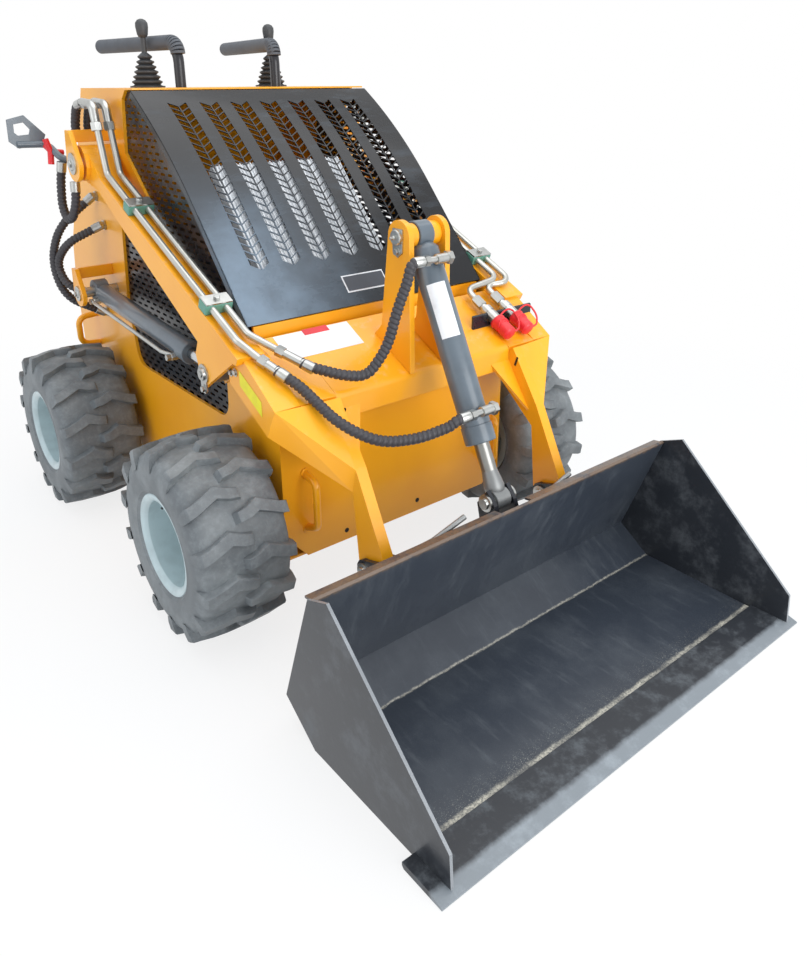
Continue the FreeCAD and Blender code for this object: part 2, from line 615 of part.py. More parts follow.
# Boom: two box arms whose side plates run down as cheeks round the lift cylinder's front pin
arm = plate("Arm", "armInner", "armWidth", [
    ("armNoseY", "armNoseZ"), ("armNoseY + 8", "armNoseZ - 15.5"), ("61.5", "643.5"), ("439", "852"),
    ("560", "921.5"),
    ("pivotY + 12", "pivotZ - armEye + 2"), ("pivotY - 20", "pivotZ + armEye - 5"), ("539", "953"), ("18", "713.5")])
for start in ("armInner", "armInner + armWidth - cheekGauge"):
    pad(arm, "YZ_Plane", start, "cheekGauge", [
        ("armNoseY", "armNoseZ"), ("liftFrontY + 9", "liftFrontZ - 38"), ("liftFrontY + 33", "liftFrontZ + 38"),
        ("61.5", "660"), ("18", "700")])
pad(arm, "YZ_Plane", "bossInner", "bossLength", flats("pivotY", "pivotZ", "armEye", 16))
pocket(arm, "YZ_Plane", "bossInner + bossLength", "bossLength", ("pivotY", "pivotZ", "pivotPin + runFit"))
both_sides([arm], "boom_arms")

# The arms run on into lower boxes, whose top is one plane with the boom's top plate
slope = "(plateRearZ - foldZ) / (plateRearY - foldY)"
box_outline = plate("LowerBox", "boxInner", "boxWidth", [
    ("foldY", "foldZ"), ("foldY + 35", "foldZ - 65"), ("-40", "foldZ + (-40 - foldY) * %s - 74 * 1.13" % slope),
    ("-40", "foldZ + (-40 - foldY) * %s" % slope), ("armNoseY + 4", "boxRise")])
lower_box = doc.addObject("Part::Cut", "LowerBoxCut")
lower_box.Base = box_outline
lower_box.Tool = arm
both_sides([lower_box], "boom_boxes")

leg = plate("Leg", "legInner", "legGauge", [
    ("foldY - 13", "foldZ"), ("-320", "440"), ("-411", "262"), ("bucketPinY - 30", "bucketPinZ - 20"),
    ("bucketPinY + legEye", "bucketPinZ"), ("-307", "385"), ("-140", "525"),
    ("-140", "foldZ + (-140 - foldY) * %s - boomGauge * 1.13" % slope), ("foldY", "foldZ - boomGauge * 1.13")])
pad(leg, "YZ_Plane", "legInner", "legGauge", flats("bucketPinY", "bucketPinZ", "legEye"))
pocket(leg, "YZ_Plane", "legInner + legGauge", "legGauge",
       flats("bucketPinY", "bucketPinZ", "(bucketPin + runFit) * 1.036"))

def slab(corners, gauge):
    """A flat plate through three or more corners, its thickness to the right-hand side."""
    face = Part.Face(Part.makePolygon(corners + corners[:1]))
    return face.extrude(face.normalAt(0, 0) * gauge)


# Knee covers close the wedge between a lower box and its leg
leg_outer = "legInner + legGauge"
top_low = vectors((leg_outer, "foldY - 13", "foldZ"), (leg_outer, "-320", "440"),
                  ("boxInner + boxWidth", "foldY", "foldZ"))
skirt = vectors(("boxInner + boxWidth", "foldY", "foldZ"), (leg_outer, "-320", "440"),
                (leg_outer, "-307", "385"), ("boxInner + boxWidth", "foldY + 35", "foldZ - 65"))
knee = slab(top_low, -8).fuse([slab(skirt[:3], -8), slab([skirt[0], skirt[2], skirt[3]], -8)])
doc.recompute()
knee = knee.cut([leg.Shape, lower_box.Shape])
shape_part("boom_knees", mirrored(knee))

# Top plate with its front lip, and the two ears that carry the tilt cylinder
top = plate("TopPlate", "-boxInner", "2 * boxInner", [
    ("foldY", "foldZ"), ("foldY", "foldZ - boomGauge * 1.13"),
    ("plateRearY", "plateRearZ - boomGauge * 1.13"), ("plateRearY", "plateRearZ")])
pad(top, "YZ_Plane", "-legInner", "2 * legInner", [
    ("foldY", "foldZ"), ("foldY", "lipBottom"), ("foldY + boomGauge", "lipBottom"),
    ("foldY + boomGauge", "foldZ - 8")])
for start in ("tiltEarInner", "-tiltEarInner - tiltEarGauge"):
    pad(top, "YZ_Plane", start, "tiltEarGauge", [
        ("foldY", "foldZ"), ("-95", "foldZ + (-95 - foldY) * %s" % slope), ("-120", "660"),
        ("tiltTopY + tiltEarRadius", "tiltTopZ"), ("tiltTopY - tiltEarRadius", "tiltTopZ")])
    pad(top, "YZ_Plane", start, "tiltEarGauge", flats("tiltTopY", "tiltTopZ", "tiltEarRadius"))
    pocket(top, "YZ_Plane", start + " + tiltEarGauge", "tiltEarGauge",
           flats("tiltTopY", "tiltTopZ", "(tiltPin + runFit) * 1.036"))

# Gussets run from the front lip down the inner faces of the legs, behind their front edges
doc.recompute()
gusset_corners = vectors(("legInner", "foldY + 11", "foldZ - 16"), ("legInner - gussetReach", "foldY + 11", "foldZ - 16"),
                         ("legInner", "foldY - 74", "foldZ - 143"))
gusset = doc.addObject("Part::Feature", "Gusset")
gusset.Shape = slab(gusset_corners, -number("gussetGauge")).cut(top.Shape)
both_sides([fuse("LegSet", [leg, gusset])], "boom_legs")
finish(top, "boom_top_plate")

tilt_pin = fuse("TiltPin", [
    across("Shank", "tiltPin", "-tiltEarInner - tiltEarGauge - 1", "2 * tiltEarInner + 2 * tiltEarGauge + 2",
           "tiltTopY", "tiltTopZ"),
    plate("LeftHead", "-tiltEarInner - tiltEarGauge - 8", "8", flats("tiltTopY", "tiltTopZ", "tiltPin + 9", 8)),
    plate("RightHead", "tiltEarInner + tiltEarGauge", "8", flats("tiltTopY", "tiltTopZ", "tiltPin + 9", 8))])
finish(tilt_pin, "tilt_top_pin")

# Steel pipes along the top of each arm, held by two clamps
arm_slope = (953 - 713.5) / (539 - 18)
fall = FreeCAD.Vector(0, -1, -number(slope)).normalize()


def above_arm(y, rise):
    """The height over the arm's top at y."""
    return number("713.5 + (%s - 18) * %.6f + %s" % (y, arm_slope, rise))


def above_plate(y, rise):
    """The height over the boom's top plate at y."""
    return number("foldZ + (%s - foldY) * %s + %s" % (y, slope, rise))


def pipe(x, front):
    """One pipe from its upper elbow over the arm to the bend at the arm's front, then on through the points."""
    way = [(x, 640, 1130), (x, 570, 1120), (x, 528, above_arm("528", "pipeRise"))]
    return bent_tube([FreeCAD.Vector(*place) for place in way + front], number("pipeRadius"), number("pipeBend"))


outer, inner = number("pipeOuter"), number("pipeInner")
coupler_y = number("couplerRear")
coupler_z = above_plate("couplerRear", "couplerRise")
hose_rows = [
    [(-361, -160, 629), (-335, -205, 602), (-304, -300, 539), (-243, -350, 499), (-164, -380, 497), (-100, -400, 512)],
    [(-300, -160, 632), (-240, -222, 607), (-190, -240, 598), (-145, -252, 655), (-122, -258, 735), (-98, -262, 790)]]
pipe_ends = [FreeCAD.Vector(-376, -129, 646), FreeCAD.Vector(-327, -116, 653)]
hose_starts = [FreeCAD.Vector(*row[0]) for row in hose_rows]
pipes = []
for x, bend_y, end in ((-outer, -86, pipe_ends[0]), (-inner, -74, pipe_ends[1])):
    pipes.append(pipe(x, [(x, bend_y, above_arm(str(bend_y), "pipeRise")), tuple(end)]))
coupler_places = []
for x, bend_y, coupler in ((inner, -62, "couplerLeft"), (outer, -84, "couplerRight")):
    place = FreeCAD.Vector(number(coupler), coupler_y, coupler_z)
    coupler_places.append(place)
    bend = (x, bend_y, above_arm(str(bend_y), "pipeRise"))
    pipes.append(pipe(x, [bend, tuple(place - fall * 50), tuple(place - fall * number("seatFit"))]))
nuts = []
for end, start in zip(pipe_ends, hose_starts):
    length = (start - end).Length - number("seatFit")
    nuts.append(laid(faceted_pin([(0, 12), (14, 12), (14, 10), (length, 10)], 6), end, start))
clamp_outline = []
for y, rise in (("-clampLength / 2", 0), ("clampLength / 2", 0), ("clampLength / 2", 1), ("-clampLength / 2", 1)):
    clamp_outline.append((y, rise))
clamps = []
along = FreeCAD.Vector(0, 1, arm_slope).normalize()
upward = FreeCAD.Vector(0, -along.z, along.y)
for y in ("35", "397"):
    centre = FreeCAD.Vector(number("armInner"), number(y), above_arm(y, "0"))
    corners = [centre + along * number(step) + upward * (rise * number("clampHeight")) for step, rise in clamp_outline]
    clamp = Part.Face(Part.makePolygon(corners + corners[:1])).extrude(FreeCAD.Vector(number("clampWidth"), 0, 0))
    clamps += [clamp.cut(pipes), clamp.mirror(FreeCAD.Vector(), FreeCAD.Vector(1, 0, 0)).cut(pipes)]
shape_part("arm_pipes", Part.makeCompound([pipes[0].fuse(nuts[0]), pipes[1].fuse(nuts[1])] + pipes[2:]))
shape_part("pipe_clamps", Part.makeCompound(clamps))

# Hoses from the left pipes to the ports of the tilt cylinder
tilt_way = vectors(("0", "tiltLowY - tiltTopY", "tiltLowZ - tiltTopZ"))[0].normalize()
tilt_front = FreeCAD.Vector(0, tilt_way.z, -tilt_way.y)
tilt_hoses = []
for row, nut, port in zip(hose_rows, pipe_ends, ("portLower", "portUpper")):
    mouth = FreeCAD.Vector(number("-portReach - seatFit"), number("tiltTopY"), number("tiltTopZ"))
    mouth += tilt_way * number(port) + tilt_front * number("tiltBarrel + 16")
    way = [FreeCAD.Vector(*place) for place in row]
    way.insert(1, way[0] + (way[0] - nut).normalize() * 18)
    tilt_hoses.append(bent_tube(way + [mouth - FreeCAD.Vector(32, 0, 0), mouth], number("hoseRadius")))
shape_part("tilt_hoses", Part.makeCompound(tilt_hoses))

# Couplers for attachments on the right, in their bracket on the top plate
coupler_rows = [(0, 12), (20, 12), (20, 9), (30, 9), (30, number("couplerBody")), (78, number("couplerBody")),
                (78, number("couplerCap")), (130, number("couplerCap"))]
bracket = Part.Face(Part.makePolygon([FreeCAD.Vector(200, y, z) for y, z in (
    (number("couplerPlate"), above_plate("couplerPlate", "0")),
    (number("couplerPlate + 5"), above_plate("couplerPlate + 5", "0")),
    (number("couplerPlate + 5"), above_plate("couplerPlate + 5", "couplerRise + 6")),
    (number("couplerPlate"), above_plate("couplerPlate", "couplerRise + 6")),
    (number("couplerPlate"), above_plate("couplerPlate", "0")))])).extrude(FreeCAD.Vector(207, 0, 0))
for place in coupler_places:
    bracket = bracket.fuse(laid(faceted_pin(coupler_rows, 8), place, place + fall))
shape_part("couplers", bracket.cut([lower_box.Shape]))

lug_span = "legGauge + 2 * lugGap + 2 * hingeLug"
leg_pin = across("LegPin", "bucketPin", "legInner - lugGap - hingeLug", lug_span, "bucketPinY", "bucketPinZ")
both_sides([leg_pin], "bucket_pins")


def axis_part(name, label, x, pin, to_pin, build):
    """A body drawn along its own z axis, laid from one pin towards the other in the plane x."""
    body = new_body(name)
    build(body)
    here = FreeCAD.Vector(x, number(pin[0]) + number("axleSetback"), number(pin[1]))
    way = FreeCAD.Vector(0, number(to_pin[0]) - number(pin[0]), number(to_pin[1]) - number(pin[1]))
    body.Label = label
    body.Placement = FreeCAD.Placement(here, FreeCAD.Rotation(FreeCAD.Vector(0, 0, 1), way))
    sub_parts.append(body)
    return body


def barrel(eye, width, bore, radius, gland):
    def build(body):
        pad(body, "XY_Plane", eye + " - 6", "%s - (%s) + 6" % (gland, eye), flats("0", "0", radius, 16))
        pad(body, "YZ_Plane", "-%s / 2" % width, width, flats("0", "0", eye))
        pocket(body, "XY_Plane", gland, "%s - (%s) - 60" % (gland, eye), flats("0", "0", bore))
    return build


def rod(eye, width, radius, reach):
    def build(body):
        pad(body, "XY_Plane", eye + " - 8", "%s - %s + 8" % (reach, eye), flats("0", "0", radius))
        pad(body, "YZ_Plane", "-%s / 2" % width, width, flats("0", "0", eye))
    return build


def pin_hole(body, width, radius):
    pocket(body, "YZ_Plane", "%s / 2" % width, width, ("0", "0", radius))


lift_rear = ("liftRearY", "liftRearZ")
lift_front = ("liftFrontY", "liftFrontZ")
for side_name, x in (("left", number("-liftPlane")), ("right", number("liftPlane"))):
    body = axis_part("LiftBarrel", "lift_barrel_" + side_name, x, lift_rear, lift_front,
                     barrel("liftEye + 6", "liftEyeWidth", "liftRod + runFit", "liftBarrel", "liftGland"))
    pin_hole(body, "liftEyeWidth", "liftPin + runFit")
    axis_part("LiftRod", "lift_rod_" + side_name, x, lift_front, lift_rear,
              rod("liftEye", "liftEyeWidth", "liftRod", "liftRodReach"))
tilt_top = ("tiltTopY", "tiltTopZ")
tilt_low = ("tiltLowY", "tiltLowZ")
body = axis_part("TiltBarrel", "tilt_barrel", 0, tilt_top, tilt_low,
                 barrel("tiltEye", "tiltEyeWidth", "tiltRod + runFit", "tiltBarrel", "tiltGland"))
pin_hole(body, "tiltEyeWidth", "tiltPin + runFit")
for port in ("portUpper", "portLower"):
    pad(body, "YZ_Plane", "-11", "22", [
        ("tiltBarrel - 4", port + " - 11"), ("tiltBarrel + 27", port + " - 11"), ("tiltBarrel + 27", port + " + 11"),
        ("tiltBarrel - 4", port + " + 11")])
    pad(body, "YZ_Plane", "-portReach", "portReach + portHead", flats("tiltBarrel + 16", port, "9", 8))
axis_part("TiltRod", "tilt_rod", 0, tilt_low, tilt_top,
          rod("tiltRodEye", "tiltEyeWidth", "tiltRod", "tiltRodReach"))

# Quick-attach plate against the bucket's back, with hinge lugs and tilt ears
back_lean = "(lipY - heelY) / (lipZ - heelZ)"


def back_y(z, away):
    """The y of the bucket's back at a height, moved off it."""
    return "heelY + (%s - heelZ) * %s + %s" % (z, back_lean, away)


skin = "bucketGauge * 1.07"
plate_rear = skin + " + attachGauge"
attach = plate("AttachPlate", "-attachHalf", "2 * attachHalf", [
    (back_y("100", skin), "100"), (back_y("100", plate_rear), "100"), (back_y("300", plate_rear), "300"),
    (back_y("300", skin), "300")])
hinge_lug = [
    (back_y("290", plate_rear + " - 1"), "290"), (back_y("150", plate_rear + " - 1"), "150"),
    ("bucketPinY - 8", "bucketPinZ - 26"), ("bucketPinY + 14", "bucketPinZ + 22")]
for start in ("legInner - lugGap - hingeLug", "legInner + legGauge + lugGap"):
    for place in (start, "-(%s) - hingeLug" % start):
        pad(attach, "YZ_Plane", place, "hingeLug", hinge_lug)
        pad(attach, "YZ_Plane", place, "hingeLug", flats("bucketPinY", "bucketPinZ", "bucketPin + 12"))
        pocket(attach, "YZ_Plane", place + " + hingeLug", "hingeLug", ("bucketPinY", "bucketPinZ", "bucketPin + runFit"))
ear_gap = "tiltEyeWidth / 2 + 4"
for place in (ear_gap, "-(%s) - hingeLug" % ear_gap):
    pad(attach, "YZ_Plane", place, "hingeLug", [
        (back_y("300", plate_rear + " - 1"), "300"), (back_y("200", plate_rear + " - 1"), "200"),
        ("tiltLowY + 28", "tiltLowZ - 10"), ("tiltLowY", "tiltLowZ + 28"), ("tiltLowY - 24", "tiltLowZ")])
finish(attach, "quick_attach_plate")

# Bucket: a bent shell open to the front, two side plates and the cutting edge
shell_solid = plate("BucketShell", "-bucketHalf", "2 * bucketHalf", [
    ("lipY", "lipZ"), ("edgeRear", "bucketGauge"), ("soleY", "soleZ"), ("heelY", "heelZ")])
doc.recompute()
open_faces = []
for count, face in enumerate(shell_solid.Shape.Faces, 1):
    direction = face.normalAt(0, 0)
    if abs(direction.x) > 0.9 or (direction.z > 0.3 and direction.y < -0.3):
        open_faces.append("Face%d" % count)
shell_block = shell_solid.Tip
walls = shell_solid.newObject("PartDesign::Thickness", "Walls")
walls.Base = (shell_block, open_faces)
walls.setExpression("Value", formula("bucketGauge"))
walls.Reversed = False
walls.Join = 1
for start in ("-bucketHalf", "flangeNotch"):
    pad(shell_solid, "YZ_Plane", start, "bucketHalf - flangeNotch", [
        ("lipY + 3", "lipZ + 1"), ("lipY + 3", "lipZ + 1 - bucketGauge"),
        ("lipY + 3 + flangeReach", "lipZ - 3 - bucketGauge"), ("lipY + 3 + flangeReach", "lipZ - 3")])
finish(shell_solid, "bucket_shell")

cheek = plate("BucketSide", "bucketHalf", "bucketSide", [
    ("lipY + 12", "lipZ"), ("lipY - 48", "lipZ + 24"), ("edgeTip + 15", "80"), ("edgeTip + 10", "edgeGauge"),
    ("edgeRear", "edgeGauge"), ("edgeRear + 0.3", "0.5"), ("soleY", "0.5"), ("heelY + 9", "heelZ")])
both_sides([cheek], "bucket_sides")

edge = plate("CuttingEdge", "-edgeHalf", "2 * edgeHalf", [
    ("edgeTip", "0"), ("edgeRear - 4.3", "0"), ("edgeRear - 0.1", "bucketGauge"), ("edgeRear - 0.1", "edgeGauge"),
    ("edgeTip + 30", "edgeGauge"),
    ("edgeTip", "3")])
finish(edge, "cutting_edge")

# Tyres: a carcass of flat bands, and two rows of bent lugs half a pitch apart
half = number("tyreHalfWidth")
crown = number("tyreRadius - lugDepth")
bead = number("rimSeat + beadFit")
inside = number("rimHalfWidth - 7")
sides = int(number("wheelSides"))
wall = [(inside, bead), (inside, number("flangeRadius + 2")), (half - 2, crown - 36), (half - 14, crown - 6)]
carcass = faceted_ring(wall + [(-x, radius) for x, radius in reversed(wall)], sides)
# across the tyre, along the tread: the bar runs in from the shoulder and its nose bends back
reach = number("lugReach")
lug_outline = [(half - 4, -reach), (38, -2), (-6, -14), (-6, 8), (38, reach - 6), (half - 4, -4)]
lug_top = math.sqrt(number("tyreRadius") ** 2 - reach ** 2)
lug_root = crown - 30
lugs = []
for row, hand in ((0, 1), (0.5, -1)):
    corners = [FreeCAD.Vector(hand * across_tyre, along, lug_root) for across_tyre, along in lug_outline]
    lug = Part.Face(Part.makePolygon(corners + corners[:1])).extrude(FreeCAD.Vector(0, 0, lug_top - lug_root))
    for step in range(int(number("lugCount"))):
        turn = 360 / number("lugCount") * (step + row) + math.degrees(math.asin(reach / number("tyreRadius")))
        lugs.append(lug.rotated(FreeCAD.Vector(), FreeCAD.Vector(1, 0, 0), turn))
tyre = carcass.multiFuse(lugs)

# Rims: a deep dish of flat bands with its bored hub
edge_x, seat, hub, dish = (number(text) for text in ("rimHalfWidth", "rimSeat", "hubRadius", "-discInset"))
sheet_in = seat - number("rimGauge")
bore = number("shaftRadius + runFit")
rim_rows = [
    (edge_x, number("flangeRadius")), (edge_x - 7, seat), (7 - edge_x, seat), (-edge_x, number("flangeRadius")),
    (4 - edge_x, sheet_in), (dish - 10, sheet_in), (dish - 6, hub), (dish - 36, hub), (dish - 36, bore - 5),
    (dish + 2, bore - 5), (dish + 2, seat - 22), (dish + 12, sheet_in), (edge_x - 4, sheet_in)]
rim = faceted_ring(rim_rows, sides).cut(
    Part.makeCylinder(bore, 2 * edge_x, FreeCAD.Vector(-edge_x, 0, 0), FreeCAD.Vector(1, 0, 0)))

wheels = [("front_left", -1, "0"), ("front_right", 1, "0"), ("rear_left", -1, "wheelBase"),
          ("rear_right", 1, "wheelBase")]
for name, hand, axle in wheels:
    place = FreeCAD.Vector(hand * number("wheelOffset"), number(axle) + number("axleSetback"), number("axleHeight"))
    outward = FreeCAD.Rotation(FreeCAD.Vector(0, 0, 1), 0 if hand > 0 else 180)
    for kind, shape in (("tyre_", tyre), ("rim_", rim)):
        piece = doc.addObject("Part::Feature", "Wheel")
        piece.Shape = shape.copy()
        piece.Label = kind + name
        piece.Placement = FreeCAD.Placement(place, outward)
        sub_parts.append(piece)

doc.recompute()
faults = [item.Label for item in doc.Objects if "Invalid" in item.State or "Error" in item.State]
faults += [piece.Label for piece in sub_parts if piece.Shape.isNull() or not piece.Shape.isValid()]
if faults:
    raise RuntimeError("faulty objects: " + ", ".join(faults))
os.makedirs("parts", exist_ok=True)
for piece in sub_parts:
    piece.Shape.exportStep("parts/%s.step" % piece.Label)
    print(piece.Label, len(piece.Shape.Solids), round(piece.Shape.Volume / 1000))
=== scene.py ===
import bpy
import bmesh
import json
import math
from mathutils import Matrix, Vector


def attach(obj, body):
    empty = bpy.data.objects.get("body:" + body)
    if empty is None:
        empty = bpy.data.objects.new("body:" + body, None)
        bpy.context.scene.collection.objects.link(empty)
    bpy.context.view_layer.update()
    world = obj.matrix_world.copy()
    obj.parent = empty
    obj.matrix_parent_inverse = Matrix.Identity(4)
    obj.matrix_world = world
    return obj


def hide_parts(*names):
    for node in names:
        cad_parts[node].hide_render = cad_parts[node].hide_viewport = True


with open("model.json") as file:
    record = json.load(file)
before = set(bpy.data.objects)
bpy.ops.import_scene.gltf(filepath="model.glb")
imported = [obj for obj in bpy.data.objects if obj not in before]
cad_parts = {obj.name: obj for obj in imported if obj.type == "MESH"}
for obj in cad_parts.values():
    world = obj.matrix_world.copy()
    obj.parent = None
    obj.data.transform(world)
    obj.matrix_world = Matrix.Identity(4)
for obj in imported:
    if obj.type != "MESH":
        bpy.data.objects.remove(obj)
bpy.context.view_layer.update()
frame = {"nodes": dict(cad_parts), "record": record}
nodes = frame["nodes"]
print("frame loaded:", len(nodes), "nodes")

# lengths in metres, +Z up, the bucket towards -Y; y counts from the middle of the machine
frontAxleY = -0.107

camera = {
    "place": (-1.1438, -1.5234 + frontAxleY, 1.1737),
    "yaw": -0.6795,
    "pitch": 0.3607,
    "roll": -0.0062,
    "focalPixels": 811.8,
    "centrePixel": (398.2, 388.4),
    "imageSize": (807, 956),
}


def newObject(name, data):
    thing = bpy.data.objects.new(name, data)
    bpy.context.scene.collection.objects.link(thing)
    return thing


def placeCamera(c):
    data = bpy.data.cameras.new("photoCamera")
    eye = newObject("photoCamera", data)
    turns = Matrix.Rotation(c["yaw"], 4, "Z") @ Matrix.Rotation(math.pi / 2 - c["pitch"], 4, "X")
    eye.matrix_world = Matrix.Translation(c["place"]) @ turns @ Matrix.Rotation(c["roll"], 4, "Z")
    width, height = c["imageSize"]
    data.sensor_width = 36
    data.lens = c["focalPixels"] / height * data.sensor_width
    data.shift_x = (width / 2 - c["centrePixel"][0]) / height
    data.shift_y = (c["centrePixel"][1] - height / 2) / height
    bpy.context.scene.camera = eye


placeCamera(camera)
bpy.context.scene.view_settings.view_transform = "Standard"


# Shader maths as plain expressions
class Flow:
    def __init__(self, finish, socket):
        self.finish = finish
        self.socket = socket

    def maths(self, operation, first, second=0.0):
        return self.finish.add("ShaderNodeMath", {"operation": operation}, {0: first, 1: second})

    def __add__(self, other):
        return self.maths("ADD", self, other)

    def __sub__(self, other):
        return self.maths("SUBTRACT", self, other)

    def __rsub__(self, other):
        return self.maths("SUBTRACT", other, self)

    def __mul__(self, other):
        return self.maths("MULTIPLY", self, other)

    def __abs__(self):
        return self.maths("ABSOLUTE", self)

    def least(self, other):
        return self.maths("MINIMUM", self, other)

    def most(self, other):
        return self.maths("MAXIMUM", self, other)

    def ramp(self, low, high, floor=0.0, top=1.0):
        return self.finish.add("ShaderNodeMapRange", {"interpolation_type": "SMOOTHSTEP"},
                               {0: self, 1: low, 2: high, 3: floor, 4: top})

    __radd__ = __add__
    __rmul__ = __mul__


def feed(tree, socket, value):
    if isinstance(value, Flow):
        value = value.socket
    if isinstance(value, bpy.types.NodeSocket):
        tree.links.new(value, socket)
    elif isinstance(value, tuple) and len(value) == 3 and len(socket.default_value) == 4:
        socket.default_value = (*value, 1.0)
    else:
        socket.default_value = value


def newNode(tree, kind, settings=None, inputs=None):
    node = tree.nodes.new(kind)
    for name, value in (settings or {}).items():
        setattr(node, name, value)
    for name, value in (inputs or {}).items():
        feed(tree, node.inputs[name], value)
    return node


class Finish:
    def __init__(self, name, **sockets):
        self.material = bpy.data.materials.new(name)
        self.material.use_nodes = True
        self.tree = self.material.node_tree
        self.shader = self.tree.nodes["Principled BSDF"]
        for socket, value in sockets.items():
            self.set(socket, value)

    def add(self, kind, settings=None, inputs=None, output=0):
        return Flow(self, newNode(self.tree, kind, settings, inputs).outputs[output])

    def set(self, name, value):
        words = "".join(" " + letter if letter.isupper() else letter for letter in name)
        socket = self.shader.inputs[words.strip().title().replace("Ior", "IOR")]
        feed(self.tree, socket, value)

    def place(self, kind="Object"):
        outputs = ("Generated", "Normal", "UV", "Object")
        return self.add("ShaderNodeTexCoord", output=outputs.index(kind))

    def split(self, vector, axis):
        return self.add("ShaderNodeSeparateXYZ", None, {0: vector}, "XYZ".index(axis))

    def stretch(self, vector, scale, turn=(0, 0, 0)):
        return self.add("ShaderNodeMapping", None, {"Vector": vector, "Scale": scale, "Rotation": turn})

    def noise(self, scale, detail=4.0, rough=0.55, vector=None):
        vector = vector or self.place()
        return self.add("ShaderNodeTexNoise", None,
                        {"Vector": vector, "Scale": scale, "Detail": detail, "Roughness": rough})

    def mix(self, factor, first, second):
        return self.add("ShaderNodeMix", {"data_type": "RGBA"}, {0: factor, 6: first, 7: second}, 2)

    def bump(self, height, depth, strength=1.0):
        self.set("normal", self.add("ShaderNodeBump", None,
                                    {"Height": height, "Distance": depth, "Strength": strength}))


def linear(red, green, blue):
    shares = (value / 255 for value in (red, green, blue))
    return tuple(share / 12.92 if share < 0.0405 else ((share + 0.055) / 1.055) ** 2.4 for share in shares)


# Finishes
finishes = {
    "yellow": linear(250, 172, 22),
    "yellowDeep": linear(232, 150, 14),
    "black": linear(33, 35, 41),
    "blackDusty": linear(88, 94, 100),
    "cylinderGrey": linear(92, 103, 112),
    "rubber": linear(98, 103, 106),
    "rubberDusty": linear(142, 147, 148),
    "rim": linear(186, 203, 205),
    "zinc": linear(190, 192, 190),
    "gripGrey": linear(84, 88, 94),
    "clampGreen": linear(96, 150, 132),
    "red": linear(228, 45, 52),
    "hose": linear(58, 56, 60),
    "bareEdge": linear(150, 118, 84),
    "bucket": linear(52, 58, 67),
    "bucketSand": linear(222, 216, 198),
    "bucketSide": linear(44, 47, 52),
    # pale grey of the side plates' scuffs and of the highlight painted on their edges
    "sideWearAndHighlight": linear(150, 154, 158),
    "scrapedEdge": linear(142, 149, 154),
    "sand": linear(214, 206, 188),
    "hood": linear(17, 19, 23),
    # pale bluish colour of the reflection painted onto the hood's lower left
    "hoodPaintedSheen": linear(132, 152, 170),
}


def yellowPaint():
    f = Finish("yellowPaint", specularIorLevel=0.5, coatWeight=0.25, coatRoughness=0.12)
    cloud = f.noise(3.5, 3).ramp(0.35, 0.7)
    grain = f.noise(140, 2)
    up = f.split(f.place("Normal"), "Z").ramp(0.3, 0.95)
    dust = f.noise(38, 6, 0.65).ramp(0.52, 0.72) * up * 0.22
    base = f.mix(cloud * 0.5, finishes["yellow"], finishes["yellowDeep"])
    f.set("baseColor", f.mix(dust, base, finishes["sand"]))
    f.set("roughness", 0.3 + grain * 0.08 + dust * 0.5)
    f.bump(grain * 0.6 + f.noise(520, 1) * 0.4, 0.0004, 0.25)
    return f.material


def blackPaint():
    f = Finish("blackPaint", specularIorLevel=0.4, coatWeight=0.18, coatRoughness=0.1)
    cloud = f.noise(4.2, 6, 0.62).ramp(0.42, 0.75)
    streak = f.noise(26, 6, 0.66, f.stretch(f.place(), (1, 0.3, 0.3))).ramp(0.52, 0.8)
    grit = f.noise(260, 3, 0.7).ramp(0.6, 0.72)
    up = f.split(f.place("Normal"), "Z").ramp(0.1, 0.8)
    dust = (cloud * 0.25 + streak * 0.4 + grit * 0.35) * up * 0.35
    f.set("baseColor", f.mix(dust, finishes["black"], finishes["blackDusty"]))
    f.set("roughness", 0.26 + cloud * 0.12 + dust * 0.6)
    f.bump(f.noise(160, 2), 0.0003, 0.2)
    return f.material


# The bucket's paint: black, scuffed by earth, with sand in the seams of its floor
bucketWear = {"edgeSeam": -0.897, "soleSeam": -0.607, "floorTop": 0.03, "bareAbove": 0.338}


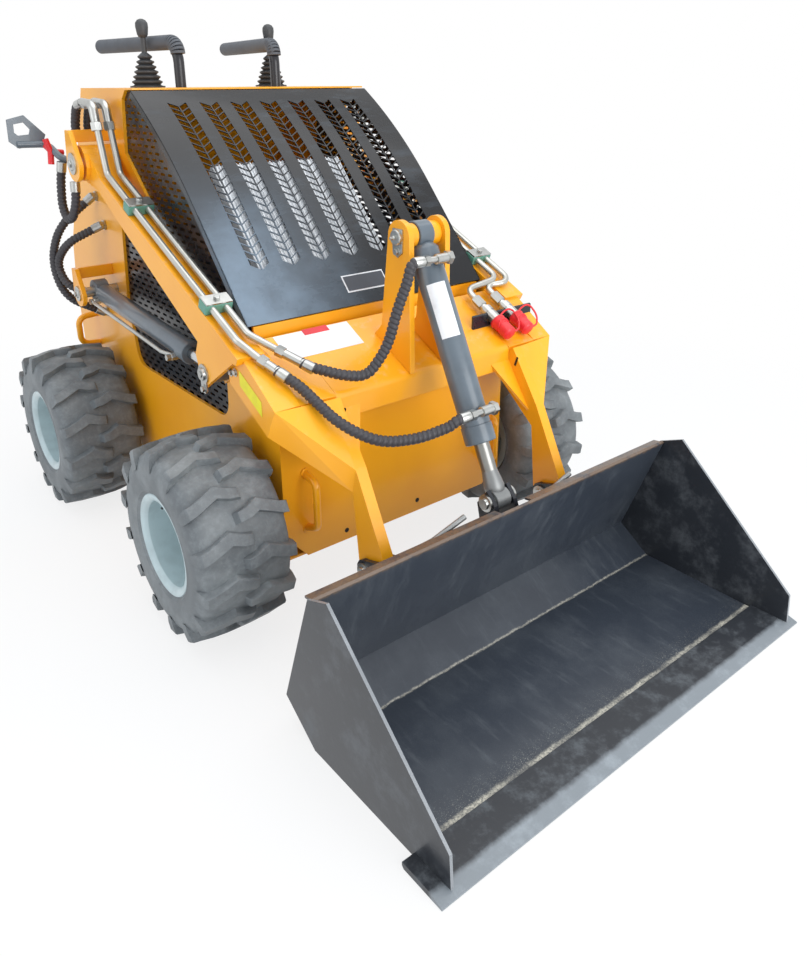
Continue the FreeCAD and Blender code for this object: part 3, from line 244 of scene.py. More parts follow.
def bucketPaint():
    f = Finish("bucketPaint", specularIorLevel=0.45, coatWeight=0.12, coatRoughness=0.15)
    x, y, z = (f.split(f.place(), axis) for axis in "XYZ")
    up = f.split(f.place("Normal"), "Z").ramp(0.3, 0.95)
    floorTop, bareAbove = bucketWear["floorTop"], bucketWear["bareAbove"]
    low = 1 - z.ramp(floorTop - 0.005, floorTop + 0.005)
    cloud = f.noise(5.5, 6, 0.65).ramp(0.4, 0.72)
    scuff = f.noise(15, 7, 0.7, f.stretch(f.place(), (2.4, 0.5, 0.5))).ramp(0.5, 0.74)
    grit = f.noise(430, 4, 0.75).ramp(0.57, 0.66) * (0.25 + cloud * 0.75)
    ragged = f.noise(42, 5, 0.7) - 0.5
    edgeGap = abs(y - bucketWear["edgeSeam"] - 0.008 + ragged * 0.016)
    soleGap = abs(y - bucketWear["soleSeam"] + ragged * 0.01)
    crumbs = f.noise(210, 5, 0.75).ramp(0.4, 0.55)
    patchy = f.noise(9, 4).ramp(0.38, 0.6)
    sand = (1 - edgeGap.ramp(0.001, 0.009)) * (0.25 + patchy * 0.75) + (1 - soleGap.ramp(0.0, 0.004)) * 0.5
    drift = (1 - edgeGap.ramp(0.0, 0.06)) * grit * 0.8
    sand = (sand * (0.35 + crumbs * 0.65) + drift).least(1.0) * low * up
    wear = (scuff * 0.4 + cloud * 0.3 + grit * up * low * 0.5).least(1.0)
    worn = f.mix(wear, finishes["bucket"], finishes["blackDusty"])
    bare = (z + f.noise(60, 5, 0.7) * 0.02).ramp(bareAbove, bareAbove + 0.008)
    bare = bare * f.noise(22, 5, 0.7).ramp(0.28, 0.5)
    worn = f.mix(bare * 0.4, worn, finishes["bareEdge"])
    f.set("baseColor", f.mix(sand, worn, finishes["bucketSand"]))
    f.set("roughness", 0.3 + cloud * 0.14 + scuff * 0.12 + sand * 0.4)
    f.bump(f.noise(160, 2) * 0.3 + sand, 0.0012, 0.35)
    return f.material


def edgePaint():
    f = Finish("edgePaint", specularIorLevel=0.45)
    y = f.split(f.place(), "Y")
    tip = 1 - (y + f.noise(30, 5, 0.7) * 0.01).ramp(-0.968, -0.955)
    scuff = f.noise(24, 7, 0.7).ramp(0.45, 0.75)
    wear = (tip * 0.75 + scuff * 0.3).least(1.0)
    f.set("baseColor", f.mix(wear, finishes["bucketSide"], finishes["scrapedEdge"]))
    f.set("roughness", 0.34 + scuff * 0.2)
    f.bump(f.noise(120, 4), 0.0004, 0.4)
    return f.material


def sidePaint():
    f = Finish("sidePaint", specularIorLevel=0.4, coatWeight=0.15, coatRoughness=0.15)
    facing = abs(f.split(f.place("Normal"), "X"))
    # painted highlight: faces that do not face sideways, the plates' thin edges, are painted lighter for the sky
    # they reflect; the scuffs added below are real wear
    rim = 1 - facing.ramp(0.3, 0.6)
    scuff = f.noise(14, 7, 0.7).ramp(0.45, 0.75)
    wear = (rim * 0.7 + scuff * 0.25).least(1.0)
    f.set("baseColor", f.mix(wear, finishes["bucketSide"], finishes["sideWearAndHighlight"]))
    f.set("roughness", 0.3 + scuff * 0.2)
    f.bump(f.noise(140, 3), 0.0003, 0.3)
    return f.material


def plain(name, colour, rough, metal=0.0, spread=0.06, fine=120, depth=0.0003, **sockets):
    f = Finish(name, metallic=metal, **sockets)
    grain = f.noise(fine, 4)
    darker = tuple(v * 0.72 for v in colour)
    f.set("baseColor", f.mix(f.noise(fine * 0.2, 3).ramp(0.35, 0.7) * 0.5, colour, darker))
    f.set("roughness", rough + (grain - 0.5) * spread * 2)
    f.bump(grain, depth, 0.3)
    return f.material


def tyreRubber():
    f = Finish("tyreRubber", specularIorLevel=0.55)
    centre = f.noise(9, 5, 0.6).ramp(0.4, 0.68)
    dust = f.noise(60, 6, 0.7).ramp(0.42, 0.7)
    f.set("baseColor", f.mix(centre * 0.5 + dust * 0.4, finishes["rubber"], finishes["rubberDusty"]))
    f.set("roughness", 0.52 + dust * 0.3)
    f.bump(f.noise(230, 5, 0.7) * 0.6 + f.noise(40, 3) * 0.4, 0.0009, 0.5)
    return f.material


paint = {
    "yellow_paint": yellowPaint(),
    "black_paint": blackPaint(),
    "bright_steel": plain("zincPlate", finishes["zinc"], 0.32, 1.0),
    "grey_paint": plain("cylinderPaint", finishes["cylinderGrey"], 0.34, 0.0, coatWeight=0.3),
    "engine": plain("castBlock", linear(52, 52, 54), 0.7),
    "black_plastic": plain("bootRubber", linear(62, 64, 66), 0.5),
    "grip_grey": plain("gripFoam", finishes["gripGrey"], 0.6, depth=0.0008),
    "hose_rubber": plain("hoseRubber", finishes["hose"], 0.5),
    "chrome": plain("chromeRod", linear(205, 208, 210), 0.16, 1.0, 0.03),
    "green_plastic": plain("clampPlastic", finishes["clampGreen"], 0.45),
    "tyre_rubber": tyreRubber(),
    "silver_paint": plain("rimPaint", finishes["rim"], 0.35, 0.0, coatWeight=0.3),
}
ownPaint = {"bucket_shell": bucketPaint(), "cutting_edge": edgePaint(), "bucket_sides": sidePaint()}
slotOf = {part["node"]: part["material_slot"] for part in frame["record"]["subparts"]}
for name, part in nodes.items():
    for slot in part.material_slots:
        slot.material = ownPaint.get(name) or paint[slotOf[name]]
print("finishes on", len(nodes), "nodes")


# Making pieces: lengths below are in millimetres from the front axle's plane, made metres by at()
def at(x, y, z):
    return Vector((x / 1000, y / 1000 + frontAxleY, z / 1000))


def through(points):
    return [at(*point) for point in points]


# bevel and thick are millimetres, sharp is the angle past which an edge is shown as an edge
def makePiece(name, body, slot, shapes, replaces=(), bevel=0.0, sharp=32, finish=None, thick=0.0):
    points, loops = [], []
    for corners, faces in shapes:
        loops += [[place + len(points) for place in face] for face in faces]
        points += corners
    mesh = bpy.data.meshes.new(name)
    mesh.from_pydata([tuple(point) for point in points], [], loops)
    form = bmesh.new()
    form.from_mesh(mesh)
    bmesh.ops.recalc_face_normals(form, faces=form.faces)
    form.to_mesh(mesh)
    form.free()
    mesh.shade_smooth()
    mesh.set_sharp_from_angle(angle=math.radians(sharp))
    mesh.materials.append(finish or paint[slot])
    piece = newObject(name, mesh)
    if thick:
        shell = piece.modifiers.new("sheet", "SOLIDIFY")
        shell.thickness = thick / 1000
        shell.offset = -1
        crisp = piece.modifiers.new("crisp", "EDGE_SPLIT")
        crisp.split_angle = math.radians(30)
    if bevel:
        edge = piece.modifiers.new("edges", "BEVEL")
        edge.width = bevel / 1000
        edge.segments = 2
        edge.limit_method = "ANGLE"
        edge.angle_limit = math.radians(35)
        edge.harden_normals = True
    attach(piece, body)
    if replaces:
        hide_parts(*replaces)
    return piece


def mirrored(shapes):
    return [([Vector((-point.x, point.y, point.z)) for point in corners], faces) for corners, faces in shapes]


def bothSides(shapes):
    return shapes + mirrored(shapes)


# A shape turned about the line from start towards stop; rows are (along, radius)
def turned(start, stop, rows, sides=40, ring=False, phase=0.0):
    way = (stop - start).normalized()
    side = way.cross(Vector((0, 0, 1)) if abs(way.z) < 0.9 else Vector((0, 1, 0))).normalized()
    up = side.cross(way)
    corners, faces = [], []
    for along, radius in rows:
        for step in range(sides):
            turn = 2 * math.pi * (step + phase) / sides
            outward = side * math.cos(turn) + up * math.sin(turn)
            corners.append(start + (way * along + outward * radius) / 1000)
    last = len(rows) if ring else len(rows) - 1
    for row in range(last):
        below, above = row * sides, (row + 1) % len(rows) * sides
        for step in range(sides):
            after = (step + 1) % sides
            faces.append((below + step, below + after, above + after, above + step))
    if not ring:
        faces += [tuple(range(sides)), tuple(range(last * sides, (last + 1) * sides))]
    return corners, faces


def roundCorners(points, bend, fine=7):
    path = [points[0]]
    for before, corner, after in zip(points, points[1:], points[2:]):
        back, onward = before - corner, after - corner
        turn = math.pi - back.angle(onward)
        if turn < 0.02:
            path.append(corner)
            continue
        most = 0.45 * min(back.length, onward.length) / math.tan(turn / 2)
        radius = min(bend / 1000, most) if bend else most
        reach = radius * math.tan(turn / 2)
        back.normalize()
        onward.normalize()
        centre = corner + (back + onward).normalized() * (radius / math.cos(turn / 2))
        first, final = corner + back * reach - centre, corner + onward * reach - centre
        for step in range(fine + 1):
            part = step / fine
            swung = first * math.sin((1 - part) * turn) + final * math.sin(part * turn)
            path.append(centre + swung / math.sin(turn))
    return path + [points[-1]]


# A tube along a route; wave gives the radius from the length along and the turn about it
def tube(points, radius, bend=0, sides=16, step=0.0, wave=None):
    path = roundCorners(points, bend)
    if step:
        even, left = [path[0]], step / 1000
        for here, there in zip(path, path[1:]):
            run = (there - here).length
            done = left
            while done < run:
                even.append(here.lerp(there, done / run))
                done += step / 1000
            left = done - run
        path = even + [path[-1]]
    corners, faces = [], []
    way = (path[1] - path[0]).normalized()
    side = way.orthogonal().normalized()
    along = 0.0
    for place, point in enumerate(path):
        ahead = path[min(place + 1, len(path) - 1)] - path[max(place - 1, 0)]
        ahead.normalize()
        side = (side - ahead * side.dot(ahead)).normalized()
        up = ahead.cross(side)
        if place:
            along += (point - path[place - 1]).length * 1000
        for corner in range(sides):
            turn = 2 * math.pi * corner / sides
            wide = (wave(along, turn) if wave else radius) / 1000
            corners.append(point + (side * math.cos(turn) + up * math.sin(turn)) * wide)
    for row in range(len(path) - 1):
        for corner in range(sides):
            after = (corner + 1) % sides
            faces.append((row * sides + corner, row * sides + after, (row + 1) * sides + after,
                          (row + 1) * sides + corner))
    faces += [tuple(range(sides)), tuple(range(len(corners) - sides, len(corners)))]
    return corners, faces


# A plate with its outline (y, z) in the machine's side view, from x to x + gauge
def plate(x, gauge, outline):
    count = len(outline)
    corners = [at(x, y, z) for y, z in outline] + [at(x + gauge, y, z) for y, z in outline]
    faces = [tuple(range(count)), tuple(range(count, 2 * count))]
    faces += [(place, (place + 1) % count, (place + 1) % count + count, place + count) for place in range(count)]
    return corners, faces


# A block on a slope: along runs up the slope of the arms or the top plate
def slopedBlock(centre, size, rise, lift=0.0):
    along = Vector((0, 1, rise)).normalized()
    up = Vector((0, -along.z, along.y))
    corners = []
    for z in (lift, lift + size[2]):
        for x, y in ((-1, -1), (1, -1), (1, 1), (-1, 1)):
            offset = Vector((x * size[0] / 2, 0, 0)) + along * (y * size[1] / 2) + up * z
            corners.append(centre + offset / 1000)
    return corners, [(0, 1, 2, 3), (4, 5, 6, 7), (0, 1, 5, 4), (1, 2, 6, 5), (2, 3, 7, 6), (3, 0, 4, 7)]


def roundEnd(y, z, radius, start, stop, steps=14):
    turns = [math.radians(start + (stop - start) * step / steps) for step in range(steps + 1)]
    return [(y + radius * math.cos(turn), z + radius * math.sin(turn)) for turn in turns]


def bolt(place, way, head=9, length=7, washer=13):
    there = place + Vector(way).normalized()
    return [turned(place, there, [(0, washer), (1.6, washer)], 20),
            turned(place, there, [(1.6, head), (length, head)], 6)]


pins = {"pivot": (637, 986), "liftRear": (745, 630), "liftFront": (50, 578), "tiltTop": (-183, 866),
        "tiltLow": (-447, 332), "bucket": (-360, 226)}

# Tyres: a rounded carcass and two rows of chevron lugs whose ends run down the side walls
tyre = {"offset": 475.6, "axleHeight": 228.6, "wheelBase": 814.5, "radius": 228.2, "halfTread": 108,
        "crownDrop": 9.5, "lugs": 14, "lugLead": 30}

# half of the carcass from the bead to the crown: (across, radius)
carcassHalf = [(95, 103.4), (98, 112), (103, 122), (107, 126), (106, 131), (109, 146), (110, 163), (108, 180),
               (103, 193), (97, 201), (84, 206), (60, 209), (30, 211)]
crown = (0, 211.5)
rimRows = [(103.2, 112), (102.6, 117), (100.5, 119), (98, 118.6), (96.5, 116), (96, 103.1), (-96, 103.1),
           (-96.5, 116), (-98, 118.6), (-103.2, 119), (-103.2, 116), (-100, 99), (-24, 97), (-12, 80),
           (-14, 47), (-44, 46), (-44, 26), (-4, 26), (-3.5, 30), (-4, 50), (-5, 66), (-3, 78), (4, 88),
           (16, 95.5), (40, 98), (92, 98.4), (98, 102), (101, 107)]

# one lug from above: (across the tread, along it); past lugEdge its points run down the side wall
lugOutline = [(108, -30), (92, -27), (64, -15), (38, -4), (12, -14), (-8, -16), (-9, 7), (12, 12), (38, 25),
              (66, 12), (92, 1), (108, -2)]
lugEdge, lugCentre, wallCentre = 100, (50, -2), -16


def lugRadius(across):
    return tyre["radius"] - tyre["crownDrop"] * (abs(across) / tyre["halfTread"]) ** 2.6


# from foot to top: spread and drop on the tread; across, radius and spread on the side wall
lugLevels = [(1.16, 22, 111.5, 176, 0.8), (1.06, 8, 110.5, 196, 1.05),
             (1.0, 1.5, 107.5, lugRadius(lugEdge) - 4, 1.0), (0.93, 0, 104, lugRadius(lugEdge), 0.92)]


def makeLugs(centre, hand):
    corners, faces = [], []
    count = len(lugOutline)
    middle, centreAlong = lugCentre
    for row, side in ((0, 1), (0.5, -1)):
        for lug in range(tyre["lugs"]):
            turn = 2 * math.pi * (lug + row) / tyre["lugs"] + math.asin(tyre["lugLead"] / tyre["axleHeight"])
            first = len(corners)
            for spread, drop, wallAcross, wallRadius, wallSpread in lugLevels:
                for x, along in lugOutline:
                    if x > lugEdge:
                        across, radius = wallAcross, wallRadius
                        swing = wallCentre + (along - wallCentre) * wallSpread
                    else:
                        across, radius = middle + (x - middle) * spread, lugRadius(x) - drop
                        swing = centreAlong + (along - centreAlong) * spread
                    angle = turn + swing / tyre["axleHeight"]
                    offset = Vector((hand * side * across, radius * math.sin(angle), radius * math.cos(angle)))
                    corners.append(centre + offset / 1000)
            for level in range(len(lugLevels) - 1):
                low, high = first + level * count, first + (level + 1) * count
                for place in range(count):
                    after = (place + 1) % count
                    faces.append((low + place, low + after, high + after, high + place))
            top = first + (len(lugLevels) - 1) * count
            faces += [(top + a, top + a + 1, top + 10 - a, top + 11 - a) for a in range(4)]
            faces.append((top + 4, top + 5, top + 6, top + 7))
    return corners, faces


wheelNuts = {"count": 5, "circle": 60, "phase": 0.3}


def makeWheel(name, hand, axleY):
    centre = at(hand * tyre["offset"], axleY, tyre["axleHeight"])
    across = Vector((hand, 0, 0))
    outward = centre + across
    body = "wheel_" + name
    otherHalf = [(-x, radius) for x, radius in reversed(carcassHalf)]
    carcass = turned(centre, outward, carcassHalf + [crown] + otherHalf, 96, True)
    makePiece("tyre_" + name + "_tread", body, "tyre_rubber", [carcass, makeLugs(centre, hand)],
              ["tyre_" + name], sharp=40)
    shapes = [turned(centre, outward, rimRows, 96, True)]
    for count in range(wheelNuts["count"]):
        turn = 2 * math.pi * (count + wheelNuts["phase"]) / wheelNuts["count"]
        circle = wheelNuts["circle"]
        place = centre + Vector((hand * -4, circle * math.sin(turn), circle * math.cos(turn))) / 1000
        shapes.append(turned(place, place + across, [(0, 11), (3, 11), (10, 9.5), (14, 8)], 6))
    hub = centre + across * -0.006
    shapes.append(turned(hub, outward, [(0, 27), (18, 27), (21, 24), (22, 10)], 32))
    makePiece("rim_" + name + "_dish", body, "silver_paint", shapes, ["rim_" + name], sharp=30)
    stem = centre + Vector((hand * 40, 74, 62)) / 1000
    makePiece("valve_" + name, body, "black_plastic",
              [turned(stem, stem + Vector((hand, -0.35, -0.3)), [(0, 5), (14, 4.5), (15, 3), (34, 3)], 12)])


for name, hand, axleY in (("front_left", -1, 0), ("front_right", 1, 0), ("rear_left", -1, tyre["wheelBase"]),
                          ("rear_right", 1, tyre["wheelBase"])):
    makeWheel(name, hand, axleY)
print("wheels")

# Hood: a rolled sheet with real chevron slots in seven columns; lengths run up the sheet from its low edge
hood = {"halfWidth": 346, "top": (467, 1158), "bend": (179, 915), "low": (-25, 687), "radius": 1353,
        "gauge": 2.2, "rim": 20, "columns": 7, "pitch": 84, "slotHalf": 24, "rib": 1.6, "rows": 24,
        "firstSlot": 128, "lastSlot": 622, "bar": 3.6, "sweep": 16, "returnDepth": 18}

# finned cooler close behind the lower vents; its near-white colour is partly painted light, made pale for the
# daylight that shows through the vents
cooler = {"left": -252, "width": 360, "low": 115, "high": 425, "depth": 12, "finDepth": 7, "coreFront": 6,
          "coreBack": 26, "fins": 40, "finStep": 9.1, "finGauge": 2.4}


def hoodCurve():
    (ty, tz), (by, bz), (ly, lz) = hood["top"], hood["bend"], hood["low"]
    radius = hood["radius"]
    chord = math.hypot(ty - by, tz - bz)
    reach = math.sqrt(radius ** 2 - chord ** 2 / 4)
    centre = (ty + by) / 2 + (tz - bz) / chord * reach, (tz + bz) / 2 - (ty - by) / chord * reach
    arc = 2 * radius * math.asin(chord / 2 / radius)
    return math.hypot(by - ly, bz - lz), arc, centre


hoodFlat, hoodArc, hoodCentre = hoodCurve()


def hoodPoint(x, length):
    (by, bz), (ly, lz) = hood["bend"], hood["low"]
    if length <= hoodFlat:
        part = length / hoodFlat
        return at(x, ly + (by - ly) * part, lz + (bz - lz) * part)
    cy, cz = hoodCentre
    turn = math.atan2(bz - cz, by - cy) - (length - hoodFlat) / hood["radius"]
    return at(x, cy + hood["radius"] * math.cos(turn), cz + hood["radius"] * math.sin(turn))


def makeHood():
    whole, half = hoodFlat + hoodArc, hood["halfWidth"]
    middles = [(column - (hood["columns"] - 1) / 2) * hood["pitch"] for column in range(hood["columns"])]
    # lines up the sheet: their place across it, and their share of the slots' sweep
    across = [(-half, 0.0), (hood["rim"] - half, 0.0)]
    for middle in middles:
        across += [(middle - hood["slotHalf"], 1), (middle - hood["slotHalf"] / 2, 0.5)]
        across += [(middle - hood["rib"], 0.06), (middle + hood["rib"], 0.06)]
        across += [(middle + hood["slotHalf"] / 2, 0.5), (middle + hood["slotHalf"], 1)]
        if middle < middles[-1]:
            across.append((middle + hood["pitch"] / 2, 1))
    across += [(half - hood["rim"], 0.0), (half, 0.0)]
    # lines across the sheet: length, whether slots start there, and how much of the sweep they follow
    lines = [(0.0, False, 0), (40.0, False, 0), (90.0, False, 0.5)]
    step = (hood["lastSlot"] - hood["firstSlot"]) / hood["rows"]
    for row in range(hood["rows"]):
        length = hood["firstSlot"] + row * step
        lines += [(length, True, 1), (length + step - hood["bar"], False, 1)]
    lines += [(hood["lastSlot"] + 10, False, 0.7), (whole - 22, False, 0), (whole, False, 0)]
    corners = [hoodPoint(x, length + hood["sweep"] * lift * lean) for length, slots, lean in lines
               for x, lift in across]
    faces, wide = [], len(across)
    for row in range(len(lines) - 1):
        for column in range(wide - 1):
            middle = (across[column][0] + across[column + 1][0]) / 2
            offset = min(abs(middle - place) for place in middles)
            if not (lines[row][1] and hood["rib"] < offset < hood["slotHalf"]):
                first = row * wide + column
                faces.append((first, first + 1, first + wide + 1, first + wide))
    shapes = [(corners, faces)]
    # the side returns follow the sheet's edge
    steps = 24
    for hand in (-1, 1):
        rim = []
        for step in range(steps + 1):
            length = whole * step / steps
            edge = hoodPoint(hand * half, length)
            ahead = hoodPoint(0, min(length + 1, whole)) - hoodPoint(0, max(length - 1, 0))
            inward = Vector((0, ahead.z, -ahead.y)).normalized() * hood["returnDepth"] / 1000
            rim += [edge, edge + inward]
        skin = [(2 * step, 2 * step + 1, 2 * step + 3, 2 * step + 2) for step in range(steps)]
        shapes.append((rim, skin))
    makePiece("hood_sheet", "chassis", "black_paint", shapes, ["hood_cover"], sharp=30, thick=hood["gauge"],
              finish=paintedSheenHoodPaint())


def behindHood(length, depth):
    (by, bz), (ly, lz) = hood["bend"], hood["low"]
    run, climb = (by - ly) / hoodFlat, (bz - lz) / hoodFlat
    return ly + run * length + climb * depth, lz + climb * length - run * depth


def makeCooler():
    depth = cooler["depth"]

    def layer(x, gauge, front, back):
        low, high = cooler["low"], cooler["high"]
        return plate(x, gauge, [behindHood(low, front), behindHood(high, front), behindHood(high, back),
                                behindHood(low, back)])

    core = [layer(cooler["left"], cooler["width"], depth + cooler["coreFront"], depth + cooler["coreBack"])]
    for fin in range(cooler["fins"]):
        place = cooler["left"] + fin * cooler["finStep"]
        core.append(layer(place, cooler["finGauge"], depth, depth + cooler["finDepth"]))
    makePiece("cooler_core", "chassis", "bright_steel", core, finish=coolerDaylightFinish)


# Hood paint with a painted sheen: a pale bluish reflection painted onto its lower left part, with faint dust
# streaks
def paintedSheenHoodPaint():
    f = Finish("hoodPaint", specularIorLevel=0.3, coatWeight=0.15, coatRoughness=0.1)
    x, z = (f.split(f.place(), axis) for axis in "XZ")
    cloud = f.noise(5, 6, 0.6).ramp(0.35, 0.7)
    streak = f.noise(24, 6, 0.66, f.stretch(f.place(), (0.3, 1, 1))).ramp(0.5, 0.75)
    # painted reflection: the colour turns pale bluish towards the bottom and the left, broken up by the cloud
    paintedSheen = (1 - z.ramp(0.72, 1.05)) * (1 - x.ramp(-0.34, 0.1)) * (0.45 + cloud * 0.55)
    f.set("baseColor", f.mix((paintedSheen * 0.75 + streak * 0.08).least(1.0), finishes["hood"], finishes["hoodPaintedSheen"]))
    f.set("roughness", 0.22 + cloud * 0.1 + streak * 0.1)
    f.bump(f.noise(160, 2), 0.0003, 0.2)
    return f.material


# near-white cooler colour: partly painted light, standing in for the daylight seen through the lower vents
coolerDaylightFinish = plain("coolerFins", linear(238, 240, 242), 0.5)
makeHood()
makeCooler()
print("hood")

# Perforated side screens: oblong slots in staggered rows, cut out of the sheet
screen = {"face": 331.7, "slotLong": 24, "slotHigh": 6, "chamfer": 2.0, "stepLong": 40, "stepHigh": 15,
          "columns": 20, "front": -16, "foot": 395, "top": 1156,
          "border": [(-16, 395), (700, 395), (700, 1156), (481, 1156), (430, 1112), (360, 1054), (290, 992),
                     (230, 934), (197, 897), (-16, 669)]}


def clipped(corners, border):
    for (ax, ay), (bx, by) in zip(border, border[1:] + border[:1]):
        kept = []
        for (px, py), (qx, qy) in zip(corners, corners[1:] + corners[:1]):
            sideP = (bx - ax) * (py - ay) - (by - ay) * (px - ax)
            sideQ = (bx - ax) * (qy - ay) - (by - ay) * (qx - ax)
            if sideP >= 0:
                kept.append((px, py))
            if sideP * sideQ < 0:
                part = sideP / (sideP - sideQ)
                kept.append((px + (qx - px) * part, py + (qy - py) * part))
        corners = kept
        if not corners:
            break
    return corners


def makeScreens():
    long, high, chamfer = screen["stepLong"], screen["stepHigh"], screen["chamfer"]
    a, b = screen["slotLong"] / 2, screen["slotHigh"] / 2
    corners, faces = [], []

    def add(points):
        faces.append(tuple(range(len(corners), len(corners) + len(points))))
        corners.extend(at(-screen["face"], y, z) for y, z in points)

    for row in range(int((screen["top"] - screen["foot"]) / high) + 1):
        z0 = screen["foot"] + row * high
        for column in range(screen["columns"]):
            y0 = screen["front"] + column * long - long / 2 * (row % 2)
            y1, z1 = y0 + long, z0 + high
            cell = [(y0, z0), (y1, z0), (y1, z1), (y0, z1)]
            cut = clipped(cell, screen["border"])
            if len(cut) < 3:
                continue
            area = abs(sum(p[0] * q[1] - p[1] * q[0] for p, q in zip(cut, cut[1:] + cut[:1]))) / 2
            if area < 0.999 * long * high:
                add(cut)
                continue
            cy, cz, c = (y0 + y1) / 2, (z0 + z1) / 2, chamfer
            slot = [(cy - a + c, cz - b), (cy + a - c, cz - b), (cy + a, cz - b + c), (cy + a, cz + b - c),
                    (cy + a - c, cz + b), (cy - a + c, cz + b), (cy - a, cz + b - c), (cy - a, cz - b + c)]
            for side in range(4):
                after = cell[(side + 1) % 4]
                add([cell[side], after, slot[2 * side + 1], slot[2 * side]])
                add([after, slot[(2 * side + 2) % 8], slot[2 * side + 1]])
    makePiece("perforated_screens", "chassis", "black_paint", bothSides([(corners, faces)]), ["side_screens"])


makeScreens()
print("screens")

# Lift and tilt cylinders; barrel rows start at the rear or upper pin
cylinder = {"liftPlace": 388, "liftRod": 14, "tiltRod": 17, "boreSmall": 14.1, "boreLarge": 15.1,
            "liftPorts": (45, 535), "tiltPorts": (70, 405), "portHeight": 48.5,
            "liftBarrel": [(29, 20), (31, 24), (33, 25), (535, 25), (536, 27.5), (573, 27.5), (575, 26),
                           (575, 14.3), (540, 14.3)],
            "tiltBarrel": [(24, 22), (34, 31), (38, 32.5), (430, 32.5), (431, 34.5), (468, 34.5), (470, 33),
                           (470, 17.3), (440, 17.3)],
            "liftEye": [(22, 17), (44, 17), (50, 14.4)],
            "tiltEye": [(10, 16), (18, 21.5), (28, 22.5), (40, 21), (54, 18.6), (63, 17.2)],
            "label": {"from": 115, "to": 235, "halfTurn": 38, "radius": 32.9}}

forgedSteel = plain("forgedSteel", linear(140, 142, 142), 0.42, 0.55, fine=60, depth=0.0006)
rodSteel = plain("rodSteel", linear(150, 150, 146), 0.3, 0.85, 0.05, fine=50)
pipeSteel = plain("pipeSteel", linear(196, 196, 190), 0.3, 0.85, 0.05, fine=70)
labelWhite = plain("labelWhite", linear(232, 233, 234), 0.35)
labelYellow = plain("labelYellow", linear(240, 228, 22), 0.4)
labelRed = plain("labelRed", linear(214, 46, 56), 0.4)
redPlastic = plain("redPlastic", finishes["red"], 0.35)
left, right = Vector((-1, 0, 0)), Vector((1, 0, 0))


def eyeRing(x, y, z, radius, width, bore):
    rows = [(0, bore), (0, radius - 1.5), (1.5, radius)]
    rows += [(width - along, edge) for along, edge in reversed(rows)]
    return turned(at(x - width / 2, y, z), at(x + width / 2, y, z), rows, 48, True)


def makeLiftCylinder(side, x, out):
    rear, front = pins["liftRear"], pins["liftFront"]
    start, stop = at(x, *rear), at(x, *front)
    tail, bore = "_" + side, cylinder["boreSmall"]
    makePiece("lift_barrel_tube" + tail, "lift_barrel" + tail, "grey_paint",
              [eyeRing(x, *rear, 32, 36, bore), turned(start, stop, cylinder["liftBarrel"], 56)],
              ["lift_barrel" + tail])
    makePiece("lift_rod_bar" + tail, "lift_rod" + tail, "chrome",
              [turned(stop, start, [(24, cylinder["liftRod"]), (520, cylinder["liftRod"])], 48)],
              ["lift_rod" + tail])
    makePiece("lift_rod_eye" + tail, "lift_rod" + tail, "grey_paint",
              [eyeRing(x, *front, 26, 36, bore), turned(stop, start, cylinder["liftEye"], 40)])
    way = (stop - start).normalized()
    down = Vector((0, 0, -0.014))
    route = [start + (way * along + out * aside) / 1000 + down
             for along, aside in ((45, 26), (45, 40), (490, 40), (535, 26))]
    makePiece("lift_pipe" + tail, "lift_barrel" + tail, "bright_steel", [tube(route, 5, 14, 12)])
    for place in cylinder["liftPorts"]:
        port = start + way * place / 1000 + down
        makePiece("lift_port%s_%d" % (tail, place), "lift_barrel" + tail, "bright_steel",
                  [turned(port + out * 0.018, port + out * 0.05, [(0, 9), (18, 9), (19, 8), (30, 8)], 6)])


def tiltLine():
    start, stop = at(0, *pins["tiltTop"]), at(0, *pins["tiltLow"])
    way = (stop - start).normalized()
    return start, stop, way, Vector((0, way.z, -way.y))


